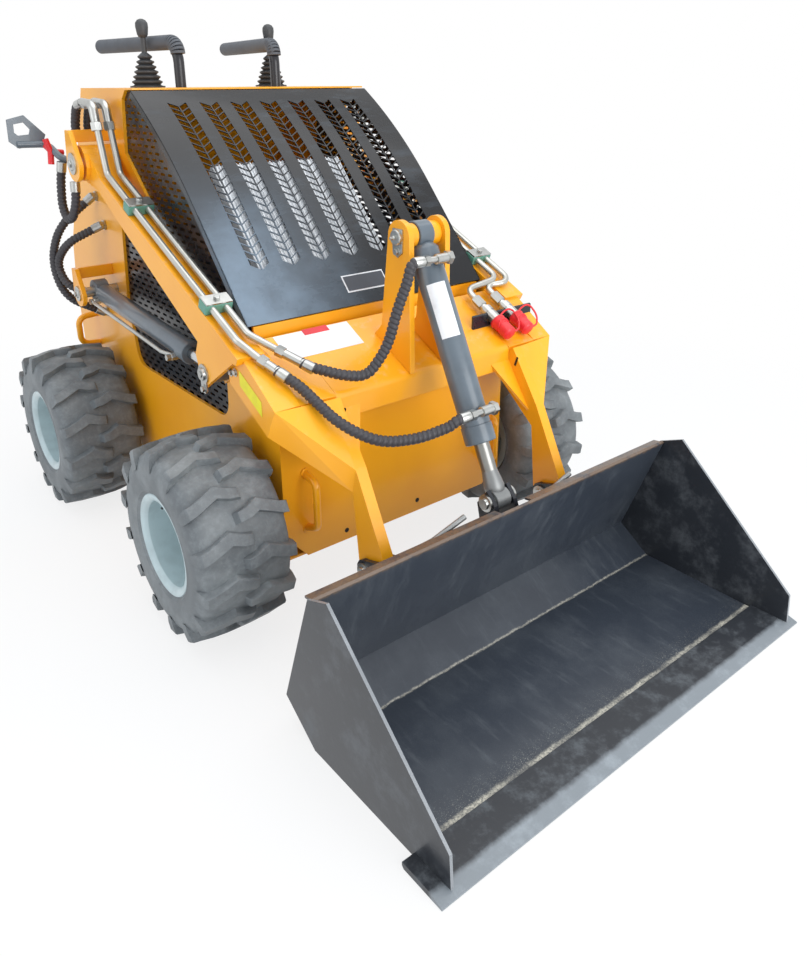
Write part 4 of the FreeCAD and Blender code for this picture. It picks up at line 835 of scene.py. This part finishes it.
def makeTiltCylinder():
    start, stop, way, ahead = tiltLine()
    barrel = [eyeRing(0, *pins["tiltTop"], 30, 40, cylinder["boreLarge"]),
              turned(start, stop, cylinder["tiltBarrel"], 64)]
    fittings = []
    for place in cylinder["tiltPorts"]:
        spot = start + way * place / 1000
        barrel.append(turned(spot + ahead * 0.028, spot + ahead, [(0, 13), (12, 13)], 24))
        hub = spot + ahead * cylinder["portHeight"] / 1000
        neck = [(0, 9), (14, 9), (15, 7.5), (34, 7.5), (35, 11), (66, 11), (67, 8), (71, 8)]
        head = [(0, 10), (2, 15), (12, 15.5), (16, 12), (17, 6)]
        fittings += [turned(hub + left * 0.052, hub, neck, 24),
                     turned(hub + right * 0.011, hub + right, head, 6),
                     turned(hub + left * 0.05, hub, [(0, 12), (13, 12)], 6)]
    makePiece("tilt_barrel_tube", "tilt_barrel", "grey_paint", barrel, ["tilt_barrel"])
    makePiece("tilt_fittings", "tilt_barrel", "bright_steel", fittings)
    rod = [turned(stop, start, [(22, cylinder["tiltRod"]), (330, cylinder["tiltRod"])], 48)]
    makePiece("tilt_rod_bar", "tilt_rod", "chrome", rod, ["tilt_rod"], finish=rodSteel)
    eye = [eyeRing(0, *pins["tiltLow"], 23, 40, cylinder["boreLarge"]),
           turned(stop, start, cylinder["tiltEye"], 40)]
    makePiece("tilt_rod_eye", "tilt_rod", "grey_paint", eye, finish=forgedSteel)
    # plain white label on the barrel's left front
    label = cylinder["label"]
    side = (left * 0.55 + ahead * 0.83).normalized()
    across = way.cross(side)
    sticker, steps = [], 8
    for along in (label["from"], label["to"]):
        for step in range(steps + 1):
            turn = math.radians((2 * step / steps - 1) * label["halfTurn"])
            outward = side * math.cos(turn) + across * math.sin(turn)
            sticker.append(start + (way * along + outward * label["radius"]) / 1000)
    cells = [(step, step + 1, step + steps + 2, step + steps + 1) for step in range(steps)]
    makePiece("barrel_label", "tilt_barrel", "grey_paint", [(sticker, cells)], finish=labelWhite)


makeLiftCylinder("left", -cylinder["liftPlace"], left)
makeLiftCylinder("right", cylinder["liftPlace"], right)
makeTiltCylinder()
print("cylinders")

# Steel pipes on the arms, their nuts, and the clamps that hold them
armTop = ((18, 713.5), (539, 953))
plateTop = ((-222, 567), (-44, 660.5))
armSlope, plateSlope = ((line[1][1] - line[0][1]) / (line[1][0] - line[0][0]) for line in (armTop, plateTop))
pipes = {"radius": 8, "outer": 404, "inner": 372, "rise": 16, "bend": 26, "coupling": 26,
         "leftEnds": ((-376, -129, 646), (-327, -116, 653)), "hoseStarts": ((-361, -160, 629), (-300, -160, 632)),
         "clampPlace": 388, "clamps": (35, 397)}


def overArm(y, rise):
    return armTop[0][1] + (y - armTop[0][0]) * armSlope + rise


def overPlate(y, rise):
    return plateTop[0][1] + (y - plateTop[0][0]) * plateSlope + rise


def downPlate():
    return Vector((0, -1, -plateSlope)).normalized()


def makePipes():
    outer, inner, rise = pipes["outer"], pipes["inner"], pipes["rise"]

    def overBoom(x, bendY, *ends):
        top = [(x, 640, 1130), (x, 570, 1120), (x, 528, overArm(528, rise))]
        return top + [(x, bendY, overArm(bendY, rise)), *ends]

    outerEnd, innerEnd = pipes["leftEnds"]
    routes = [overBoom(-outer, -86, outerEnd), overBoom(-inner, -74, innerEnd)]
    for x, bendY, coupler in ((inner, -62, couplers["places"][0]), (outer, -84, couplers["places"][1])):
        end = (coupler, couplers["rear"], overPlate(couplers["rear"], pipes["coupling"]))
        lead = at(*end) - downPlate() * 0.05
        routes.append(overBoom(x, bendY, (coupler, (lead.y - frontAxleY) * 1000, lead.z * 1000), end))
    bars, nuts = [], []
    for route in routes:
        points = through(route)
        bars.append(tube(points, pipes["radius"], pipes["bend"], 20))
        nuts.append(turned(points[0], points[1], [(0, 11), (2, 12), (20, 12), (22, 10.5), (34, 10.5)], 6))
    for end, start in zip(pipes["leftEnds"], pipes["hoseStarts"]):
        here, there = at(*end), at(*start)
        length = (there - here).length * 1000
        sleeve = [(15, 10), (length, 10), (length + 12, 12.5), (length + 30, 12.5), (length + 31, 11)]
        nuts += [turned(here, there, [(-4, 11), (-3, 12.5), (14, 12.5), (15, 11)], 6),
                 turned(here, there, sleeve, 28)]
    makePiece("steel_pipes", "boom", "chrome", bars, ["arm_pipes"], finish=pipeSteel)
    makePiece("pipe_nuts", "boom", "bright_steel", nuts)
    blocks, tops = [], []
    up = Vector((0, -armSlope, 1)).normalized()
    for y in pipes["clamps"]:
        for hand in (-1, 1):
            centre = at(hand * pipes["clampPlace"], y, overArm(y, 0))
            blocks.append(slopedBlock(centre, (64, 34, 24), armSlope, 0.3))
            tops.append(slopedBlock(centre, (62, 32, 4), armSlope, 24.6))
            tops.append(turned(centre + up * 0.0286, centre + up, [(0, 7.5), (6, 7.5), (7, 6.5)], 6))
    makePiece("clamp_blocks", "boom", "green_plastic", blocks, ["pipe_clamps"], bevel=2.5)
    makePiece("clamp_tops", "boom", "bright_steel", tops, bevel=0.6)


# Hoses with their spiral guard, and the pipes' elbows at the top with the short hoses behind them
hoses = {"core": 9.6, "guard": 11.6, "pitch": 10.5, "guarded": 0.82,
         "low": [(-335, -205, 602), (-304, -300, 539), (-243, -350, 499), (-164, -380, 497), (-100, -400, 512)],
         "high": [(-240, -222, 607), (-190, -240, 598), (-145, -252, 655), (-122, -258, 735), (-98, -262, 790)]}
couplers = {"places": (265, 330), "rear": -104}


# the radius at a length along a hose and a turn about it
def spiral(along, turn):
    part = (along / hoses["pitch"] + turn / (2 * math.pi)) % 1
    if part >= hoses["guarded"]:
        return hoses["core"]
    rise = min(1.0, part / 0.16) * min(1.0, (hoses["guarded"] - part) / 0.12)
    return hoses["core"] + (hoses["guard"] - hoses["core"]) * max(0.0, rise)


def makeHoses():
    start, stop, way, ahead = tiltLine()
    made, sleeves = [], []
    highPort, lowPort = cylinder["tiltPorts"]
    ends = zip((hoses["low"], hoses["high"]), pipes["hoseStarts"], pipes["leftEnds"], (lowPort, highPort))
    for route, hoseStart, nut, port in ends:
        first = at(*hoseStart)
        points = [first, first + (first - at(*nut)).normalized() * 0.018] + through(route)
        mouth = start + (way * port + ahead * cylinder["portHeight"]) / 1000 + left * 0.0523
        points += [mouth + left * 0.032, mouth]
        made.append(tube(points, 11, 0, 20, 1.2, spiral))
        sleeves.append(turned(mouth, mouth + left, [(0, 9.5), (1, 12), (24, 12), (26, 11)], 28))
    makePiece("guarded_hoses", "boom", "hose_rubber", made, ["tilt_hoses"], sharp=60)
    makePiece("hose_sleeves", "boom", "bright_steel", sleeves)


def makeElbowHoses():
    made, nuts = [], []
    for x in (-pipes["outer"], -pipes["inner"]):
        points = [at(x, y, z) for y, z in ((640, 1130), (688, 1122), (716, 1072), (716, 1034))]
        made.append(tube(points, 10, 0, 18, 1.4, spiral))
        nuts.append(tube([points[0], points[0].lerp(points[1], 0.75)], 12, 0, 20))
        nuts.append(tube([at(x, 562, 1084), at(x, 571, 1127), at(x, 640, 1131)], 11, 20, 20))
        nuts.append(turned(at(x, 560.5, 1074), at(x, 563, 1090), [(-8, 12), (-7, 14), (12, 14), (13, 12)], 6))
    makePiece("elbow_hoses", "boom", "hose_rubber", bothSides(made), sharp=60)
    makePiece("elbow_sleeves", "boom", "bright_steel", bothSides(nuts))


makePipes()
makeHoses()
makeElbowHoses()
print("pipes and hoses")


# Couplers on the right, with red dust caps and their straps
def makeCouplers():
    fall = downPlate()
    steel, caps = [], []
    body = [(19, 10), (28, 10), (29, 15), (44, 15), (45, 13.5), (50, 13.5), (51, 15), (76, 15)]
    cap = [(74, 14), (74, 19), (79, 20.5), (84, 18.5), (96, 18), (97, 16.5), (101, 16.5), (102, 18), (124, 18),
           (128, 15), (130, 8)]
    for x in couplers["places"]:
        rear = at(x, couplers["rear"], overPlate(couplers["rear"], pipes["coupling"]))
        steel += [turned(rear, rear + fall, [(-14, 11), (-13, 12.5), (18, 12.5), (19, 10)], 6),
                  turned(rear, rear + fall, body, 32)]
        caps.append(turned(rear, rear + fall, cap, 36))
        ring, ball = rear + fall * 0.088, rear + fall * 0.12
        collar = [ring + Vector((0.017 * math.cos(turn), -0.01, 0.017 * math.sin(turn)))
                  for turn in (0.2, 1.2, 2.2, 3.2, 4.2, 5.4, 6.4)]
        caps.append(tube(collar, 3.2, 0, 10))
        loop = [ball, ball + Vector((0.024, -0.012, 0.004)), ball + Vector((0.05, 0.012, 0.022)),
                ring + Vector((0.05, 0.014, 0.03)), ring + Vector((0.022, 0.012, 0.026)),
                ring + Vector((0, 0.004, 0.017))]
        caps.append(tube(loop, 2.4, 0, 10))
    rise = 32
    outline = [(y, overPlate(y, lift)) for y, lift in ((-152, 0), (-147, 0), (-147, rise), (-152, rise))]
    makePiece("coupler_bodies", "boom", "bright_steel", steel, ["couplers"])
    makePiece("dust_caps", "boom", "black_plastic", caps, finish=redPlastic)
    makePiece("coupler_bracket", "boom", "black_paint", [plate(200, 207, outline)], bevel=1)


makeCouplers()

# Top plate of the boom with its front lip and the round-ended ears of the tilt cylinder
topPlate = {"half": 345, "lipHalf": 257, "earGauge": 14, "earPlace": 44, "earRadius": 36,
            "sheet": [(-222, 567), (-222, 555.7), (-44, 649.2), (-44, 660.5)],
            "folded": [(-44, 660.5), (-212, 572.2), (-217, 568.6), (-220.8, 563.4), (-222, 556), (-222, 512),
                       (-212, 512), (-212, 560.9), (-44, 649.2)]}


def makeTopPlate():
    y, z = pins["tiltTop"]
    half, lipHalf = topPlate["half"], topPlate["lipHalf"]
    shapes = [plate(-lipHalf, 2 * lipHalf, topPlate["folded"]), plate(-half, half - lipHalf, topPlate["sheet"]),
              plate(lipHalf, half - lipHalf, topPlate["sheet"])]
    ear = [(-222, 567), (-95, overPlate(-95, 0)), (-120, 660)]
    ear += roundEnd(y, z, topPlate["earRadius"], 0, 180, 24)
    for x in (topPlate["earPlace"], -topPlate["earPlace"] - topPlate["earGauge"]):
        shapes.append(plate(x, topPlate["earGauge"], ear))
    makePiece("top_plate", "boom", "yellow_paint", shapes, ["boom_top_plate"], bevel=1.2)
    heads, collars = [], []
    keeper = [(y - 16, z + 18), (y + 16, z + 18), (y + 16, z - 32), (y, z - 44), (y - 16, z - 32)]
    earFace = topPlate["earPlace"] + topPlate["earGauge"]
    for hand in (-1, 1):
        out = Vector((hand, 0, 0))
        face = at(hand * earFace, y, z)
        heads.append(turned(face, face + out, [(0, 17), (9, 17), (11, 15), (11, 4)], 36))
        heads.append(plate(hand * earFace, hand * 3.5, keeper))
        heads += bolt(at(hand * (earFace + 3.5), y, z - 31), out, 7, 7, 10)
        nipple = at(hand * (earFace + 11), y, z)
        heads.append(turned(nipple, nipple + out, [(0, 5), (4, 5), (5, 3.2), (12, 3.2)], 10))
        collars.append(turned(at(hand * 21, y, z), face + out, [(0, 26), (22.5, 26)], 36))
    makePiece("tilt_pin_heads", "boom", "bright_steel", heads, ["tilt_top_pin"], bevel=0.5)
    makePiece("tilt_ear_collars", "boom", "yellow_paint", collars, bevel=1)


makeTopPlate()

# Pivot brackets on the frame, and the pins with their keeper plates
bracket = {"ear": 437, "earGauge": 12, "frame": 340,
           "ears": ((pins["pivot"], 45, 80, 20), (pins["liftRear"], 36, 67, 14))}


# a pin's head on a face, rows are (along, radius)
def pinHead(place, out, radius):
    return turned(place, place + out, [(0, radius), (5, radius), (6, 13), (10, 12), (10, 3)], 36)


def makeBrackets():
    shapes, heads = [], []
    inside = bracket["ear"] - bracket["frame"]
    for (y, z), radius, top, pin in bracket["ears"]:
        ear = [(y + 30, z + top), (y + 3, z + top)] + roundEnd(y, z, radius, 180, 360, 24)
        web = [(y + 15, z + top - 30), (y + 25, z + top - 30), (y + 25, z + top), (y + 15, z + top)]
        shapes += [plate(bracket["ear"], bracket["earGauge"], ear), plate(bracket["frame"], inside, web)]
        face = at(bracket["ear"] + bracket["earGauge"], y, z)
        head = [(0, pin + 7), (3.5, pin + 7), (4, pin - 2), (7, pin - 4), (7, 4)]
        heads += [turned(at(bracket["frame"], y, z), face, [(0, pin), (110, pin)], 40),
                  turned(face, face + right, head, 40)]
        heads += bolt(face + right * 0.003, right, pin * 0.5, 8, pin * 0.75)
    makePiece("pivot_ears", "chassis", "yellow_paint", bothSides(shapes), ["pivot_brackets"], bevel=1.2)
    makePiece("pivot_pins", "chassis", "bright_steel", bothSides(heads), ["frame_pins"])
    y, z = pins["liftFront"]
    cheek = 420
    keeper = [(y - 12, z + 14), (y + 14, z + 14), (y + 12, z - 40), (y - 4, z - 46), (y - 14, z - 38)]
    boomPins = [turned(at(369, y, z), at(407, y, z), [(0, 13.9), (38, 13.9)], 32),
                turned(at(cheek, y, z), at(cheek + 1, y, z), [(0, 22), (3.5, 22), (4, 15), (9, 14), (9, 4)], 40),
                plate(cheek, 3.5, keeper)]
    boomPins += bolt(at(cheek + 3.5, y - 2, z - 34), right, 7, 7, 10)
    boomPins += bolt(at(cheek + 4, y, z), right, 7.5, 7, 10)
    y, z = pins["bucket"]
    boomPins.append(turned(at(244, y, z), at(296, y, z), [(0, 15), (52, 15)], 40))
    boomPins += [pinHead(at(296, y, z), right, 20), pinHead(at(244, y, z), left, 20)]
    makePiece("boom_pins", "boom", "bright_steel", bothSides(boomPins), ["bucket_pins"])
    y, z = pins["tiltLow"]
    ends = [turned(at(hand * 34, y, z), at(hand * 35, y, z), [(0, 19), (5, 19), (6, 13), (11, 12), (11, 3)], 36)
            for hand in (-1, 1)]
    ends.append(turned(at(-34, y, z), at(34, y, z), [(0, 14.6), (68, 14.6)], 36))
    makePiece("tilt_low_pin", "bucket", "bright_steel", ends)


makeBrackets()
print("pins and brackets")

# Hand bars and control levers
controls = {"deck": 1164, "barFoot": (145, 620), "barTop": 1275, "barEnd": (200, 1010, 1275), "barRadius": 14,
            "gripRadius": 19, "gripFoot": 1212, "bend": 70, "lever": (192, 725), "leverTop": 1335,
            "folds": 6, "foldStep": 12.5}


def makeControls():
    foot, top, bend = controls["barFoot"], at(*controls["barFoot"], controls["barTop"]), controls["bend"]
    end = at(*controls["barEnd"])
    bars = [tube([at(*foot, controls["deck"]), top, end], controls["barRadius"], bend, 28)]
    makePiece("bar_tubes", "chassis", "black_paint", bothSides(bars), ["hand_bars"])
    path = roundCorners([at(*foot, controls["gripFoot"]), top, end], bend)[1:]
    grips = [tube(path, controls["gripRadius"], 0.0001, 28)]
    makePiece("bar_grips", "chassis", "grip_grey", bothSides(grips), sharp=50)
    rows = [(0, 46), (4, 46), (5, 38)]
    for fold in range(controls["folds"]):
        wide, along = 40 - 4.2 * fold, fold * controls["foldStep"]
        rows += [(8 + along, wide - 6), (13 + along, wide), (16 + along, wide)]
    rows += [(84, 12), (88, 7), (124, 7), (126, 11), (132, 14), (150, 16.5), (160, 16), (167, 11), (170, 4)]
    foot, top = (at(*controls["lever"], z) for z in (controls["deck"], controls["leverTop"]))
    lever = turned(foot, top, rows, 36)
    makePiece("lever_boots", "chassis", "black_plastic", bothSides([lever]), ["control_levers"], sharp=50)


makeControls()

# Handles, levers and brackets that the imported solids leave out
towHandle = {"place": 280, "face": -120.3, "reach": -164, "high": 355, "low": 218, "radius": 8.5}
frameSide = -340.5
lockHolder = {"face": (797, 803),
              "rim": [(-548, 1090), (-505, 1100), (-457, 1050), (-468, 1024), (-528, 1018), (-550, 1036)],
              "window": [(-533, 1078), (-508, 1082), (-494, 1064), (-498, 1052), (-526, 1050), (-534, 1058)],
              "stem": [(frameSide, 742, 986), (-440, 742, 988), (-455, 800, 1026), (-532, 800, 1028)]}
knobRoutes = [([(-466, 776, 1040), (-457, 776, 1008), (-460, 776, 976)], 8, 10),
              ([(-457, 777, 1008), (-424, 780, 1004)], 7.5, 0), ([(-457, 778, 1010), (-466, 800, 1027)], 7, 0)]
frameHoseRoutes = [
    [(-443, 742, 982), (-450, 752, 930), (-456, 748, 868), (-457, 715, 836), (-454, 676, 848), (-446, 660, 890),
     (-443, 660, 938)],
    [(-352, 775, 804), (-440, 812, 760), (-462, 857, 700), (-452, 830, 640), (-414, 790, 622)],
    [(-352, 812, 880), (-446, 846, 800), (-470, 876, 700), (-455, 850, 600), (-352, 846, 540)],
]


def makeLockHolder():
    rim, window = lockHolder["rim"], lockHolder["window"]
    count = len(rim)
    corners = [at(x, y, z) for y in lockHolder["face"] for x, z in rim + window]
    faces = []
    for place in range(count):
        after = (place + 1) % count
        outer, inner = (place, after), (place + count, after + count)
        for first, second in (outer, inner):
            faces.append((first, second, second + 2 * count, first + 2 * count))
        for back in (0, 2 * count):
            faces.append((outer[0] + back, outer[1] + back, inner[1] + back, inner[0] + back))
    holder = [(corners, faces), tube(through(lockHolder["stem"]), 9, 26, 20)]
    makePiece("lock_holder", "chassis", "grey_paint", holder, bevel=0.8)
    knob = [tube(through(route), radius, bend, 16) for route, radius, bend in knobRoutes]
    makePiece("lock_knob", "chassis", "black_plastic", knob, finish=redPlastic)


def makeFrameHoses():
    small, ends = [], []
    for route in frameHoseRoutes:
        points = through(route)
        small.append(tube(points, 10, 0, 18, 1.6, spiral))
        for first, second in ((points[0], points[1]), (points[-1], points[-2])):
            if first.x > at(-360, 0, 0).x:
                root = Vector((-0.3403, first.y, first.z))
                ends.append(turned(root, root + left, [(0, 15), (5, 15), (5, 12), (16, 12)], 6))
            ends.append(turned(first, second, [(-2, 9), (-1, 12.5), (24, 12.5), (25, 11)], 24))
    makePiece("frame_hoses", "chassis", "hose_rubber", small, sharp=60)
    makePiece("frame_hose_ends", "chassis", "bright_steel", ends)


def makeHandles():
    tow, face, reach = [], towHandle["face"], towHandle["reach"]
    high, low = towHandle["high"], towHandle["low"]
    for hand in (-1, 1):
        x = hand * towHandle["place"]
        loop = [at(x, face, high), at(x, reach, high - 9), at(x, reach, low + 18), at(x, face, low)]
        tow.append(tube(loop, towHandle["radius"], 18, 18))
        for z in (high + 2, low - 3):
            tow.append(turned(at(x, face, z), at(x, face - 0.7, z), [(0, 12), (3, 12)], 24))
    makePiece("tow_handles", "chassis", "yellow_paint", tow)
    lock = [tube([at(-246, -464, 309), at(-205, -468, 315), at(-120, -470, 340)], 6, 60, 14),
            tube([at(150, -468, 310), at(210, -470, 333)], 6, 0, 14)]
    makePiece("lock_levers", "bucket", "bright_steel", lock, finish=forgedSteel)
    makeLockHolder()
    rear, out = 950, -398
    loop = [(frameSide, rear, 512), (out, rear, 508), (out, rear, 424), (frameSide, rear, 420)]
    makePiece("rear_loops", "chassis", "yellow_paint", bothSides([tube(through(loop), 9, 26, 18)]))
    makeFrameHoses()


makeHandles()

# Blank labels, bolts, and holes and slots drawn in painted shade
labels = {
    "hood": {"x": (-60, 54), "length": (37, 75), "rim": 4},
    "plate": [("plate_label", -201, -80, (196, 76, 0.5), labelWhite, 0.2),
              ("plate_label_band", -192, -52, (66, 18, 0.3), labelRed, 0.75)],
    "box": [(-405.5, -172, 574), (-405.5, -86, 619), (-405.5, -86, 585), (-405.5, -172, 540)],
}
hoodNormal = Vector((0, -0.745, 0.667))
# painted shade: near-black for the shaded insides of holes and slots
paintedHoleShade = plain("paintedHoleShade", linear(22, 20, 18), 0.8)
darkPlate = plain("darkPlate", linear(60, 64, 72), 0.3)


def makeTrim():
    def hoodCard(border, lift):
        (x0, x1), (low, high) = labels["hood"]["x"], labels["hood"]["length"]
        spots = ((x0 - border, low - border), (x1 + border, low - border), (x1 + border, high + border),
                 (x0 - border, high + border))
        return [([hoodPoint(x, length) + hoodNormal * lift / 1000 for x, length in spots], [(0, 1, 2, 3)])]

    makePiece("hood_plate", "chassis", "bright_steel", hoodCard(0, 0.9), finish=darkPlate, thick=-1.2)
    makePiece("hood_plate_rim", "chassis", "bright_steel", hoodCard(labels["hood"]["rim"], 0.5), finish=labelWhite)
    for name, x, y, size, finish, lift in labels["plate"]:
        makePiece(name, "boom", "yellow_paint", [slopedBlock(at(x, y, overPlate(y, 0)), size, plateSlope, lift)],
                  finish=finish)
    makePiece("box_label", "boom", "yellow_paint", [(through(labels["box"]), [(0, 1, 2, 3)])], finish=labelYellow)
    bolts = []
    for y, z in ((-70, 610), (-50, 605)):
        bolts += bolt(at(405.2, y, z), right, 6, 5, 9)
    makePiece("box_bolts", "boom", "bright_steel", bothSides(bolts))
    # thin near-black discs on the front plate: painted shade for the insides of two holes
    holes = [turned(at(x, -120.1, z), at(x, -121, z), [(0, 6), (0.4, 6)], 20)
             for x, z in ((-171, 169), (50, 174))]
    makePiece("front_holes", "chassis", "black_paint", holes, finish=paintedHoleShade)
    # thin near-black slivers on the gussets: painted shade for the insides of the slots
    slots = [slopedBlock(at(hand * 256.4, -248, 536), (1.6, 5, 24), 0.35, -12) for hand in (-1, 1)]
    makePiece("gusset_slots", "boom", "yellow_paint", slots, finish=paintedHoleShade)


makeTrim()
print("trim")

# Floor, backdrop and lamps
stage = {"floorHalf": 9, "glowFrom": 1.2, "glowFull": 2.6, "glowNear": 0.8, "sky": (0.86, 0.92, 1.0),
         "skyStrength": 0.9}
lamps = [
    {"name": "overhead", "place": (0.2, -0.2, 3.4), "aim": (0, 0, 0.5), "size": 3.2, "power": 48},
    {"name": "frontFill", "place": (0.2, -3.7, 1.2), "aim": (0, -0.1, 0.35), "size": 2.6, "power": 80},
    {"name": "leftFill", "place": (-3.4, 0.4, 1.8), "aim": (0, 0, 0.5), "size": 2.2, "power": 15},
]


# white to the camera and to reflections, so that only the floor's shadow shows
def makeFloor():
    f = Finish("paleFloor", roughness=0.9)
    f.set("baseColor", linear(236, 236, 236))
    ray = newNode(f.tree, "ShaderNodeLightPath").outputs
    glow = f.add("ShaderNodeEmission", None, {"Color": (1.0, 1.0, 1.0), "Strength": 1.0})
    distance = f.add("ShaderNodeVectorMath", {"operation": "LENGTH"}, {0: f.place()}, 1)
    far = distance.ramp(stage["glowFrom"], stage["glowFull"], stage["glowNear"], 1.0)
    seen = Flow(f, ray["Is Camera Ray"]).most(Flow(f, ray["Is Glossy Ray"]))
    seen = seen.most(Flow(f, ray["Is Transmission Ray"])) * far
    both = f.add("ShaderNodeMixShader", None, {0: seen, 1: f.shader.outputs[0], 2: glow})
    feed(f.tree, f.tree.nodes["Material Output"].inputs[0], both)
    mesh = bpy.data.meshes.new("floor")
    half = stage["floorHalf"]
    square = [(-half, -half, 0), (half, -half, 0), (half, half, 0), (-half, half, 0)]
    mesh.from_pydata(square, [], [(0, 1, 2, 3)])
    floor = newObject("floor", mesh)
    mesh.materials.append(f.material)
    floor.location.z = -0.0005


def makeWorld():
    world = bpy.data.worlds.new("studio")
    bpy.context.scene.world = world
    world.use_nodes = True
    tree = world.node_tree
    tree.nodes.clear()
    ray = newNode(tree, "ShaderNodeLightPath").outputs
    shown = ray["Is Camera Ray"]
    for kind in ("Is Transmission Ray", "Is Glossy Ray"):
        shown = newNode(tree, "ShaderNodeMath", {"operation": "MAXIMUM"}, {0: shown, 1: ray[kind]}).outputs[0]
    skies = [newNode(tree, "ShaderNodeBackground", None, {"Color": colour, "Strength": strength}).outputs[0]
             for colour, strength in ((stage["sky"], stage["skyStrength"]), ((1.0, 1.0, 1.0), 1.0))]
    blend = newNode(tree, "ShaderNodeMixShader", None, {0: shown, 1: skies[0], 2: skies[1]}).outputs[0]
    newNode(tree, "ShaderNodeOutputWorld", None, {0: blend})


def makeLamp(name, place, aim, size, power):
    data = bpy.data.lights.new(name, "AREA")
    data.size = size
    data.energy = power
    light = newObject(name, data)
    light.location = place
    light.rotation_euler = (Vector(aim) - Vector(place)).to_track_quat("-Z", "Y").to_euler()


makeFloor()
makeWorld()
for lamp in lamps:
    makeLamp(**lamp)
print("stage and lamps")
